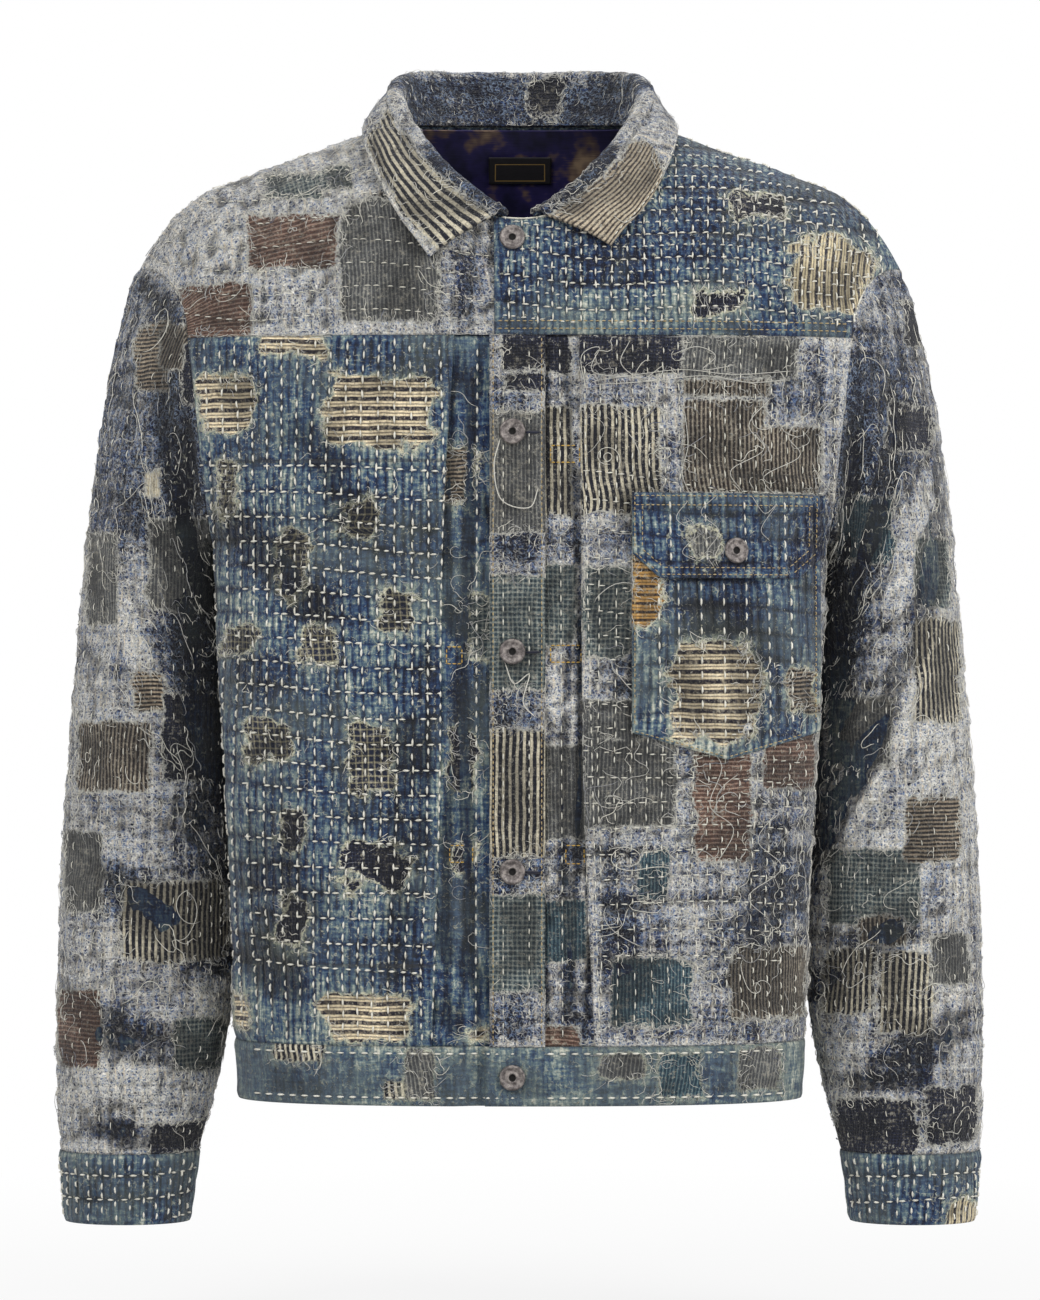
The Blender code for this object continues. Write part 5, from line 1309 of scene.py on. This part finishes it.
SLEEVE_CREASES = {
    RIGHT: [
        (150, 30, 168, 330, 3.2, 26), (108, 10, 146, 44, 3.2, 15), (60, 20, 190, 90, 2.6, 12),
        (40, 150, 170, 250, -1.6, 14), (60, 330, 180, 380, 2.2, 11), (20, 420, 170, 455, 1.8, 10),
        (60, 500, 180, 520, 1.6, 9), (-180, 120, -60, 200, 2.2, 13), (-170, 330, -40, 390, 2.0, 12),
        (-160, 470, -50, 500, 1.6, 10)],
    LEFT: [
        (158, 30, 172, 300, 3.2, 24), (108, 8, 148, 46, 3.4, 17), (50, 40, 180, 140, 2.8, 12),
        (25, 110, 90, 205, 2.6, 13), (90, 200, 180, 300, 2.8, 13), (40, 170, 150, 300, -1.6, 12),
        (70, 350, 190, 400, 2.0, 11), (30, 430, 160, 470, 1.8, 10), (60, 520, 170, 535, 1.4, 9),
        (-170, 100, -60, 190, 2.2, 13), (-180, 300, -50, 380, 2.0, 12), (-150, 450, -40, 490, 1.6, 10)]}
# How much paler each arm's tone is set, by height: darker towards the shoulder on both, and paler about the
# middle of the left one.
SLEEVE_PALE = {RIGHT: lambda z: 0.16 - 0.34 * ease(z, -330, -230),
               LEFT: lambda z: 0.16 - 0.28 * ease(z, -280, -200) + 0.26 * bell(z, -390, 75)}
SLEEVE_DARK_X = 234.0
# The right arm's spot at x -228 and the left arm's first three spots, beside the armhole's front, are painted
# shadow in the hollow between arm and body; the left arm's spots at x 280 and 292 are painted light along its
# outer edge.
SLEEVE_SHADES = {
    RIGHT: [
        (-228, -178, 12, 26, -0.8), (-257, -222, 15, 40, -0.2), (-248, -268, 16, 34, -0.2),
        (-244, -332, 24, 16, -0.14), (-264, -355, 18, 16, -0.12), (-257, -448, 28, 12, -0.25),
        (-218, -360, 10, 20, 0.2), (-275, -521, 14, 18, -0.25), (-214, -556, 20, 12, -0.2),
        (-288, -582, 22, 12, 0.2), (-262, -640, 60, 50, 0.12)],
    LEFT: [
        (240, -155, 12, 22, -0.2), (233, -198, 12, 36, -0.2), (244, -268, 11, 36, -0.22),
        (280, -285, 12, 90, 0.4), (292, -480, 10, 90, 0.2), (214, -399, 12, 40, 0.7),
        (257, -407, 14, 26, -0.2), (231, -460, 22, 10, -0.2), (283, -420, 12, 24, 0.1),
        (218, -590, 10, 22, -0.2), (244, -622, 26, 10, 0.2)]}
CUFF_PATCHES = [("mattress", 286, 312, -735, -712, 1.6)]
ARM_QUILT, CUFF_QUILT = 70, 80

denim_cuff = boro("denim_cuff", "denim", CUFF_PATCHES, dulled=0.14)
for side, word in ((RIGHT, "right"), (LEFT, "left")):
    grid, centre, places = sleeve_grid(side, 0, WRIST_ROW, 3.25)
    x, y, z = np.moveaxis(grid, -1, 0)
    turns = np.abs(np.linspace(-0.5, 0.5, len(grid)))[:, None]
    # Fuller under the arm, and darker along the inner line and in the armpit: painted shade where the arm
    # lies against the body, over cloth that is darker there too.
    fuller = 4.5 * ease(turns, 0.36, 0.48) * ease(-z, 262, 285) * ease(z, -400, -330)
    armpit_shade = ease(SLEEVE_DARK_X - np.abs(x), -8, 22) * ease(-z, 142, 162) * (y < 0)
    dark = 0.6 * np.maximum(ease(turns, 0.20, 0.36), armpit_shade) * ease(z, -440, -330)
    arm = sew(
        f"sleeve_{word}_arm", f"sleeve_{word}", grid, centre, fuller, CLOTH,
        boro(f"gauze_sleeve_{word}", "gauze", SLEEVE_PATCHES[side]), "chart", places,
        patches=SLEEVE_PATCHES[side], creases=SLEEVE_CREASES[side], quilt=ARM_QUILT + side, nap=0.65,
        closed=True, seed=500 + 30 * side, pale=SLEEVE_PALE[side](z) - dark, shades=SLEEVE_SHADES[side])
    grid, centre, places = sleeve_grid(side, WRIST_ROW, CUFF_ROW, 2.2)
    band = sew(
        f"cuff_{word}_band", f"cuff_{word}", grid, centre, 1.0, 4.0, denim_cuff, "chart", places,
        patches=CUFF_PATCHES, quilt=CUFF_QUILT + side, closed=True, seed=600 + side, pale=0.02 - 0.04 * side)
    places = quilt_stitches(75 + side, ARM_QUILT + side, (-200, 200, 4, 510), (5.0, 11.6), None)
    stitched(f"quilting_sleeve_{word}", arm, places, keep=0.5, radius=0.36)
    frays(f"frays_sleeve_{word}", arm, 4.8, 77 + side)
    curls(f"fuzz_sleeve_{word}", arm, 1500, 79 + side)
    strays(f"strays_sleeve_{word}", arm, 260, 95 + side, length=(16.0, 52.0))
    places = quilt_stitches(82 + side, CUFF_QUILT + side, (-134, 134, 1, 46), (4.6, 9.0), (4.6, 9.0))
    stitched(f"quilting_cuff_{word}", band, places)

# ============================================================================== waistband
# A folded denim band all round the hem, its left end lapped over the right and its own old patches stitched
# on. It is topstitched close to both edges.

# Patches on the back stand FAR_SIDE to the left of their own place.
WAIST_PATCHES = [
    ("stripe", -162, -128, -615, -600, 0.6), ("stripe", -88, -68, -639, -628, 0.4),
    ("grey", -75, -56, -638, -606, 0.5), ("teal", 92, 118, -638, -609, 0.6),
    ("grey", 144, 171, -635, -607, 0.6), ("grey", 52, 82, -625, -609, 0.5),
    ("brown", 1060, 1120, -640, -610, 0.6), ("stripe", 880, 940, -640, -608, 0.6)]
BAND_ENDS_X = -23.0, 8.0
BAND_OUT, BAND_TUCK = 0.8, 4.7

# From the left end, over the wearer's left side, the back and the right side, to the tucked right end: face,
# start and end across it, and length.
lapped_end, tucked_end = (float(across_at(FRONT, x, HEM_Z)) for x in BAND_ENDS_X)
stretches = (FRONT, lapped_end, 1.0, 210), (BACK, 1.0, -1.0, 460), (FRONT, -1.0, tucked_end, 240)
rows = HEM_Z + (WAIST_Z - HEM_Z) * marks(39, 2.2)
grids, far = [], []
for face, start, end, length in stretches:
    across = np.linspace(start, end, 2 * int(length / 2.8 / 2) + 1)[:, None]
    across = across[1:] if grids else across
    grids.append(body(face, across + 0 * rows, height_of(rows) + 0 * across))
    far.append(np.full(grids[-1].shape[:2], FAR_SIDE * (face == BACK)))
tucked = ease(grids[-1][..., 0], -46, -27)
tucked = np.concatenate([np.zeros((sum(map(len, grids[:2])), len(rows))), tucked])
grid = np.concatenate(grids)
waistband = sew(
    "waistband_hem", "waistband", grid, behind(grid), BAND_OUT - BAND_TUCK * tucked, 4.2,
    boro("denim_band", "denim", WAIST_PATCHES, quilted=False, torn=0.35, dulled=0.4),
    patch_place=(grid[..., 0] + np.concatenate(far), grid[..., 2]), patches=WAIST_PATCHES, seed=700,
    pale=0.26, shades=[(174, -620, 20, 30, 0.16)])
places = rows_of(8.0, 4.8, *[(x, z, x + 185, z) for z in (-608.5, -637.5) for x in (-186, 0)])
stitched("topstitch_waistband", waistband, places, face=FRONT)
stitched("topstitch_waistband_back", waistband, places, face=BACK)
frays("frays_waistband", waistband, 2.4, seed=89)

# ============================================================================== collar
# A broad turned-down collar cut with its stand in one: fine ribbed cotton on the right leaf, black and cream
# ticking laid lengthwise on the left one, and looped, frayed gauze over the fold and the inside of the neck.

# From the centre back (turn 0) round to the front end: the fold line, and the free edge, whose place on the
# shoulders is a distance from the middle and an angle over the shoulder (90 on the seam).
COLLAR = table("turn fold_x fold_y fold_z edge_x edge_lean radius bulge", [
    (0, 0, 60, 49, 0, 128, 4.6, 9), (30, 43, 54, 48.5, 46, 122, 4.6, 8), (60, 73, 36, 46.5, 80, 112, 4.5, 5),
    (85, 84, 6, 38, 101, 97, 4.4, 2), (105, 82, -24, 21, 102, 66, 4.2, 4),
    (125, 71, -52, 1.5, 92, 45, 4.0, 8), (145, 49, -82, -26.5, 78, 31, 3.8, 9),
    (160, 28, -97, -44, 68, 24.5, 3.6, 9), (172, 12, -104, -55, 59, 19, 3.5, 9)])
COLLAR_CLOTH = 2.8
COLLAR_GAP = 0.4
STAND_OFF, FALL_OFF = 1.2, 0.8
NECK_MIDDLE = np.array([0, -15.0, 40.0])
NECK_FOOT = NECK_X * YOKE_X / SHOULDER_X
FOLD_ROW = 4


def neckline(turn):
    """Where the stand starts on the neckline: turn 0 is the centre back, 90 the shoulder, 180 the front."""
    near_back = np.abs(turn) <= 90

    def edge(at, back_down=0.0):
        foot = NECK_FOOT * np.sin(np.radians(at))
        front, back = (dome(face, foot, np.minimum(neck_lean(face, foot), 89.5) - back_down)
                       for face in (FRONT, BACK))
        return np.where(near_back[..., None], back, front)

    here = edge(turn)
    along = edge(turn - np.sign(90.5 - np.abs(turn)) * 0.5 * np.sign(turn)) - here
    rise = unit(np.cross(along, here - edge(turn, 0.5)))
    rise = rise * np.sign(rise[..., 2] + np.where(near_back, 1, -1) * rise[..., 1])[..., None]
    away = unit(np.cross(rise, along))
    away = away * np.sign(np.sum(away * (NECK_MIDDLE - here), -1))[..., None]
    return here + away * STAND_OFF - rise * (COLLAR_CLOTH + COLLAR_GAP)


def over_shoulder(x, lean):
    """Points and normals of the chest, shoulder or back, by distance from the middle and lean."""
    front = lean <= 90
    flat_lean = np.where(front, lean, 180 - lean)
    foot = x / (YOKE_X + (SHOULDER_X - YOKE_X) * (1 - np.cos(np.radians(flat_lean)))) * YOKE_X

    def place(a, b):
        return np.where(front[..., None], dome(FRONT, a, b), dome(BACK, a, b))

    normal = np.cross(place(foot + 0.1, flat_lean) - place(foot - 0.1, flat_lean),
                      place(foot, flat_lean + 0.1) - place(foot, flat_lean - 0.1))
    return place(foot, flat_lean), unit(normal * np.where(front, 1, -1)[..., None])


def collar_profiles(turn):
    """Rows of points from the neck seam up the stand, over the fold and down the fall to the free edge."""
    side = np.where(turn < 0, -1.0, 1.0)

    def read(column):
        return follow(COLLAR, column, np.abs(turn), "turn")

    fold = np.stack([side * read("fold_x"), read("fold_y"), read("fold_z")], -1)
    radius = read("radius")[..., None]
    edge, rise = over_shoulder(side * read("edge_x"), read("edge_lean") + 3.0 * ease(turn, 120, 165))
    edge = edge + rise * (FALL_OFF + COLLAR_CLOTH)
    base = neckline(turn)
    out = unit((edge - base) * np.array([1.0, 1.0, 0]))
    up = np.array([0, 0, 1.0])
    inner, outer = (fold + sign * out * radius - up * radius * 0.9 for sign in (-1, 1))
    near = [fold + sign * out * radius * 0.72 - up * radius * 0.26 for sign in (-1, 1)]
    bulge = (rise + out) * read("bulge")[..., None]
    fall = [outer + (edge - outer) * share + bulge * share * (1 - share)
            for share in (0.2, 0.4, 0.6, 0.8, 1.0)]
    return np.stack([base, (base + inner) / 2, inner, near[0], fold, near[1], outer, *fall], -2)


turn = 172 * (2 * marks(560, 2.3) - 1)
turn = np.where(np.abs(turn) < 0.01, 0.01, turn)
profiles = collar_profiles(turn)
run = run_along(profiles, 1).mean(0)
grid = curve_through(profiles, np.interp(marks(run[-1], 2.2) * run[-1], run, np.arange(len(run))))
fold_run = float(run[FOLD_ROW])
collar_patches = [
    ("laid", -300, -168, fold_run + 8, run[-1] - 5, 1.2), ("tanrib", 196, 300, fold_run + 10, 130, 1.2),
    ("navy", 8, 34, 4, 30, 1.4), ("navy", 230, 300, 8, 36, 1.0)]
# The inside, up to the fold, is painted darker than the fall: painted shade inside the neck.
painted_neck_shade = 0.62 * (1 - ease(run_along(grid, 1), fold_run - 6, fold_run + 6))
collar = sew(
    "collar_turned", "collar", grid, None, COLLAR_CLOTH, COLLAR_CLOTH,
    boro("gauze_collar", "gauze", collar_patches, quilted=False), "chart", patches=collar_patches, nap=0.3,
    seed=800, pale=0.12 - painted_neck_shade, shades=[(-230, 60, 40, 14, -0.22)])
stitched("topstitch_collar", collar, rows_of(6.5, 4.2, (-270, 82, 270, 82)), radius=0.45)
frays("frays_collar", collar, 1.8, seed=85)
curls("fuzz_collar", collar, 420, seed=86, radius=0.2)
strays("strays_collar", collar, 36, seed=87, length=(10.0, 28.0))

# ============================================================================== chest pocket
# A pointed patch pocket of dark denim on the left chest, with ticking showing through its worn face, under a
# buttoned flap that is topstitched twice.

POCKET_X = (73.0, 198.0)
POCKET_PATCHES = [
    ("ticking", 98, 154, -404, -339, 2.2), ("amber", 72, 92, -330, -281, 1.8),
    ("rib", 176, 194, -384, -356, 1.8)]
FLAP_PATCHES = [("grey", 112, 128, -283, -262, 1.8)]
EDGE_ROW = (3.4, 2.5)


def pocket_grid(top_z, side_z, low_z, corner, step=2.0):
    """Points of a pocket or flap on the left front: level at the top, and below drawn to a point over the
    share `corner` of its half width."""
    share = marks(POCKET_X[1] - POCKET_X[0], step)[:, None]
    x = POCKET_X[0] + (POCKET_X[1] - POCKET_X[0]) * share
    towards = np.minimum(1, (1 - np.abs(2 * share - 1)) / corner)
    low = side_z + (low_z - side_z) * towards
    z = low + (top_z - low) * marks(top_z - low_z, step)
    return body(FRONT, across_at(FRONT, x + 0 * z, z), height_of(z))


grid = pocket_grid(-246.0, -398.0, -416.0, 1.0)
pocket = sew(
    "pocket_chest", "pocket", grid, behind(grid), 3.0, 2.0,
    boro("denim_pocket", "denim", POCKET_PATCHES), patches=POCKET_PATCHES, quilt=92, seed=900,
    creases=[(140, -260, 150, -400, 1.0, 12), (90, -300, 130, -330, 0.8, 10)])
grid = pocket_grid(-241.0, -281.0, -297.0, 0.28)
flap = sew(
    "pocket_flap_chest", "pocket_flap", grid, behind(grid), 6.5, 2.5,
    boro("denim_flap", "denim", FLAP_PATCHES), patches=FLAP_PATCHES, quilt=94, seed=930, pale=-0.32)
places = rows_of(
    *EDGE_ROW, (75, -243, 196, -243), (75, -243, 75, -280), (196, -243, 196, -280), (75, -280, 92, -294.5),
    (196, -280, 179, -294.5), (92, -294.5, 179, -294.5), (75, -249, 196, -249), (80, -249, 80, -278),
    (191, -249, 191, -278), (80, -278, 94, -290), (191, -278, 177, -290), (94, -290, 177, -290))
stitched("topstitch_flap", flap, places, tan_cotton, 0.4)
places = rows_of(
    8.4, 5.4, (98, -245, 99, -293), (121, -245, 123, -294), (147, -245, 149, -294), (174, -245, 175, -292))
stitched("stitches_flap", flap, places)
places = rows_of(
    *EDGE_ROW, (75, -250, 75, -396), (196, -250, 196, -396), (75, -397, 135, -414), (196, -397, 137, -414))
stitched("topstitch_pocket", pocket, places, tan_cotton, 0.4)
places = rows_of(9.6, 5.6, *[(x, -250, x + 2, z) for x, z in (
    (90, -400), (103, -403), (118, -407), (133, -411), (148, -410), (163, -406), (178, -401))])
stitched("stitches_pocket", pocket, places)
trailing("long_threads_flap", flap, [
    [(128, -243, 0.5), (118, -254, 2.0), (130, -266, 1.5), (122, -280, 1.4), (127, -290, 0.6)],
    [(110, -246, 0.5), (102, -258, 1.8), (114, -268, 1.4), (106, -280, 1.0), (116, -286, 0.5)],
    [(152, -243, 0.5), (160, -254, 2.0), (168, -248, 1.6), (158, -264, 1.2), (164, -272, 0.5)]], 0.27, 0.6)
frays("frays_pocket", pocket, 1.5, seed=96)
frays("frays_flap", flap, 1.5, seed=97)

# ============================================================================== neck lining and label
# The inside of the upper back is lined with dark satin that has worn to tan blotches. A plain black label
# with a thin gold border is sewn to it below the neckline.

LINING_X = 150.0
LINING_IN, LABEL_IN = 4.7, 6.7
LABEL_WIDTH, LABEL_TOP_Z, LABEL_DROP = 42.0, -3.0, 18.0


def height_on_dome(face, foot, z):
    """The height, from 1 to 2, at which a column above the yoke line reaches z."""
    top_z = ridge_z(SHOULDER_X * foot / YOKE_X)
    return 1 + np.degrees(np.arcsin(np.maximum(0, z - YOKE_Z) / (top_z - YOKE_Z))) / neck_lean(face, foot)


cut = new_dye("lining_satin").node("UVMap", {"uv_map": "cut"}, {})
blotch = cut.noise(cut, 30, 3.0, 0.6)
thread = cut.noise(cut.moved("MULTIPLY", cut, (0.05, 1.0, 1.0)), 0.7, 1.0)
tone = blotch + (thread - 0.5) * 0.12
colour = tone.ramp((0.38, (22, 20, 52)), (0.53, (40, 34, 84)), (0.60, (96, 78, 74)), (0.72, (158, 134, 108)))
lining_satin = finish_cloth("lining_satin", colour, thread * 0.15 + blotch * 0.6, 0.42, 0.05)
foot = LINING_X * (2 * marks(2 * LINING_X, 5.0)[:, None] - 1)
grid = above_yoke_line(BACK, foot, 1 + marks(170, 5.0))
lining = sew(
    "lining_neck", "neck_lining", grid, behind(grid, -38.0, 60.0), -LINING_IN, 1.0, lining_satin,
    inside=lining_satin, seam=0.2, seed=1000)

cut = new_dye("label_satin").node("UVMap", {"uv_map": "cut"}, {})
thread = cut.noise(cut.moved("MULTIPLY", cut, (0.1, 1.0, 1.0)), 0.5, 1.0)
across, up = cut.part(0), cut.part(1)
from_middle = cut.math("MAXIMUM", cut.math("ABSOLUTE", across) - 17.6, cut.math("ABSOLUTE", up - 9.0) - 6.6)
border = ((0.45 - cut.math("ABSOLUTE", from_middle)) * 3).kept()
colour = cut.mixed(cut.mixed((14, 13, 16), (34, 32, 36), thread), (150, 122, 66), border)
label_satin = finish_cloth("label_satin", colour, thread * 0.12, 0.5, 0.05)
foot = LABEL_WIDTH / 2 * (2 * marks(LABEL_WIDTH, 1.6)[:, None] - 1)
z = LABEL_TOP_Z - LABEL_DROP + LABEL_DROP * marks(LABEL_DROP, 1.6)
grid = above_yoke_line(BACK, foot, height_on_dome(BACK, foot, z))
label = sew(
    "label_plain", "neck_label", grid, behind(grid, -38.0, 60.0), -LABEL_IN, 0.8, label_satin,
    "shoulder", inside=label_satin, seam=0.1, seed=1010)

# ============================================================================== buttons
# Turned tack buttons of greyed metal with a pinkish tarnish: a sunk face round a dark centre, which is
# painted shade in place of the centre hole, a broad rounded rim and a short neck that is pressed through the
# placket.

# Each button: place, and how far the cloth it stands on lies above the front's own form.
BUTTON_SEATS = (
    ("button_neck", -5.0, -73.0, 0.0), ("button_chest", -5.0, -201.0, 1.2),
    ("button_middle", -5.0, -345.0, 1.2), ("button_waist", -5.0, -489.0, 1.2),
    ("button_hem", -5.0, -624.0, 0.8), ("button_pocket", 139.0, -279.0, 6.5))
BUTTON_GAP = 0.3
# Half profile: radius and height, from the sunk centre over the rim to the neck's foot.
BUTTON_PROFILE = np.array([
    (1.6, 0.5), (2.1, 0.8), (2.4, 1.7), (2.9, 2.1), (3.5, 1.9), (3.9, 1.5), (5.2, 1.7), (6.2, 2.3),
    (7.0, 2.9),
    (7.7, 2.8), (8.2, 2.3), (8.5, 1.6), (8.2, 1.0), (7.4, 0.7), (3.6, 0.5), (3.4, 0.3), (3.4, 0.0)])
CENTRE_TOP = 0.7
TURNS = 40
SUNK_RINGS = 2

place = new_dye("tarnished_metal").node("TexCoord", {}, {}, 3)
spots = place.noise(place, 0.003, 5.0, 0.7)
grain = place.noise(place, 0.0006, 2.0, 0.6)
colour = spots.ramp((0.30, (46, 42, 42)), (0.48, (104, 97, 95)), (0.60, (150, 143, 138)),
                    (0.75, (112, 92, 84)))
bump = place.node("Bump", {}, {"Height": grain * 0.12 + spots * 0.2, "Distance": MM})
shader = place.node("BsdfPrincipled", {}, {
    "Base Color": colour, "Normal": bump, "Roughness": spots * 0.3 + 0.35, "Metallic": 0.4})
place.node("OutputMaterial", {}, {"Surface": shader})
tarnished_metal = bpy.data.materials["tarnished_metal"]
# Near-black for the button's centre: painted shade in place of its hole.
hole_shade_metal = spun("hole_shade_metal", (12, 10, 10), (40, 34, 32))


def seat_on_front(x, z, top):
    """The point and normal on which a button stands, above the front at x and z."""
    x, z = np.array([x]), np.array([z])

    def place(dx=0.0, dz=0.0):
        across = across_at(FRONT, x + dx, np.minimum(z + dz, YOKE_Z))
        height = np.where(z > YOKE_Z, height_on_dome(FRONT, x + dx, z + dz), height_of(z + dz))
        return body(FRONT, across, height)[0]

    normal = unit(np.cross(place(0.5) - place(-0.5), place(dz=0.5) - place(dz=-0.5)))
    normal = normal * -np.sign(normal[1])
    return place() + normal * top, normal


def turned_button(seat, normal):
    """A button's points and faces: its profile turned about the normal, a top and a bottom cap; then which of
    the faces are of the dark centre, painted shade in place of a hole."""
    side = unit(np.cross(normal, [0.0, 0, 1]))
    over = np.cross(side, normal)
    steps = 2 * np.pi * np.arange(TURNS)[:, None] / TURNS
    radius, height = BUTTON_PROFILE.T
    ring = (radius * np.cos(steps))[..., None] * side + (radius * np.sin(steps))[..., None] * over
    ring = ring + height[:, None] * normal
    points = np.concatenate([ring.reshape(-1, 3), [normal * CENTRE_TOP, normal * 0.0]]) + seat
    index = np.arange(ring[..., 0].size).reshape(ring.shape[:2])
    following = np.roll(index, -1, axis=0)
    walls = np.stack([index[:, :-1], index[:, 1:], following[:, 1:], following[:, :-1]], -1).reshape(-1, 4)
    top = np.stack([index[:, 0], following[:, 0], np.full(TURNS, len(points) - 2)], -1)
    low = np.stack([following[:, -1], index[:, -1], np.full(TURNS, len(points) - 1)], -1)
    dark = np.zeros(len(walls) + 2 * TURNS, np.int32)
    dark[:len(walls)].reshape(TURNS, -1)[:, :SUNK_RINGS] = 1
    dark[len(walls):len(walls) + TURNS] = 1
    return points, walls.tolist() + top.tolist() + low.tolist(), dark


for name, x, z, top in BUTTON_SEATS:
    points, faces, dark = turned_button(*seat_on_front(x, z, top + BUTTON_GAP))
    turned = made_mesh(name + "_turned", points, faces, [tarnished_metal, hole_shade_metal])
    turned.data.polygons.foreach_set("material_index", dark)
    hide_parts(name)

# ============================================================================== studio
# A plain pale floor and backdrop, large soft lights and a level camera in front of the chest.

FLOOR_Z = -0.80
FLOOR_PALE, FLOOR_FADE = 0.78, 0.18
WHITE = (1, 1, 1, 1)
WORLD_LIGHT, WORLD_SEEN = 0.46, 1.0
# Each soft light: place, what it points at, size and power.
SOFT_LIGHTS = (
    ((-1.6, -2.4, 1.6), (0, 0, -0.3), 1.4, 46.0), ((2.1, -1.8, 0.8), (0, 0, -0.35), 1.4, 42.0),
    ((0.2, 1.8, 1.8), (0, 0, -0.2), 1.6, 30.0))
LENS, SENSOR = 164.1, 36.0
CAMERA_AWAY, CAMERA_Z = 4.0, -0.344

bpy.ops.mesh.primitive_plane_add(size=30, location=(0, 0, FLOOR_Z))
floor = bpy.context.object
floor.name = "floor"
dye = new_dye("pale_floor")
to_camera = dye.node("LightPath", {}, {}, 0)
diffuse = dye.node("BsdfDiffuse", {}, {"Color": paint((225, 225, 225))})
white = dye.node("Emission", {}, {"Color": WHITE, "Strength": 1.0})
away = dye.node("VectorMath", {"operation": "LENGTH"}, {0: dye.node("TexCoord", {}, {}, 3)}, "Value")
share = (away * FLOOR_FADE + FLOOR_PALE).kept()
mixed = dye.node("MixShader", {}, {0: to_camera * share, 1: diffuse, 2: white})
dye.node("OutputMaterial", {}, {"Surface": mixed})
floor.data.materials.append(bpy.data.materials["pale_floor"])

world = bpy.data.worlds.new("studio")
bpy.context.scene.world = world
world.use_nodes = True
world.node_tree.nodes.clear()
dye = Dye(world.node_tree)
# White wherever the camera sees it, straight, in a reflection or through something, and dimmer as a light.
seen, reflected, passed = (dye.node("LightPath", {}, {}, out) for out in (0, 3, 6))
white_seen = (seen + reflected + passed).kept()
dim, bright = (dye.node("Background", {}, {"Color": WHITE, "Strength": strength})
               for strength in (WORLD_LIGHT, WORLD_SEEN))
dye.node("OutputWorld", {}, {"Surface": dye.node("MixShader", {}, {0: white_seen, 1: dim, 2: bright})})

for number, (place, target, size, power) in enumerate(SOFT_LIGHTS):
    lamp = bpy.data.lights.new(f"soft_light_{number}", "AREA")
    lamp.size, lamp.energy = size, power
    stand = bpy.data.objects.new(lamp.name, lamp)
    stand.location = place
    stand.rotation_mode = "QUATERNION"
    direction = type(stand.location)(target) - stand.location
    stand.rotation_quaternion = direction.to_track_quat("-Z", "Y")
    bpy.context.scene.collection.objects.link(stand)

view = bpy.data.cameras.new("view")
view.lens, view.sensor_width = LENS, SENSOR
camera = bpy.data.objects.new("view", view)
camera.location = (0.0, -CAMERA_AWAY, CAMERA_Z)
camera.rotation_euler = (np.pi / 2, 0, 0)
bpy.context.scene.collection.objects.link(camera)
bpy.context.scene.camera = camera
bpy.context.scene.view_settings.view_transform = "Standard"
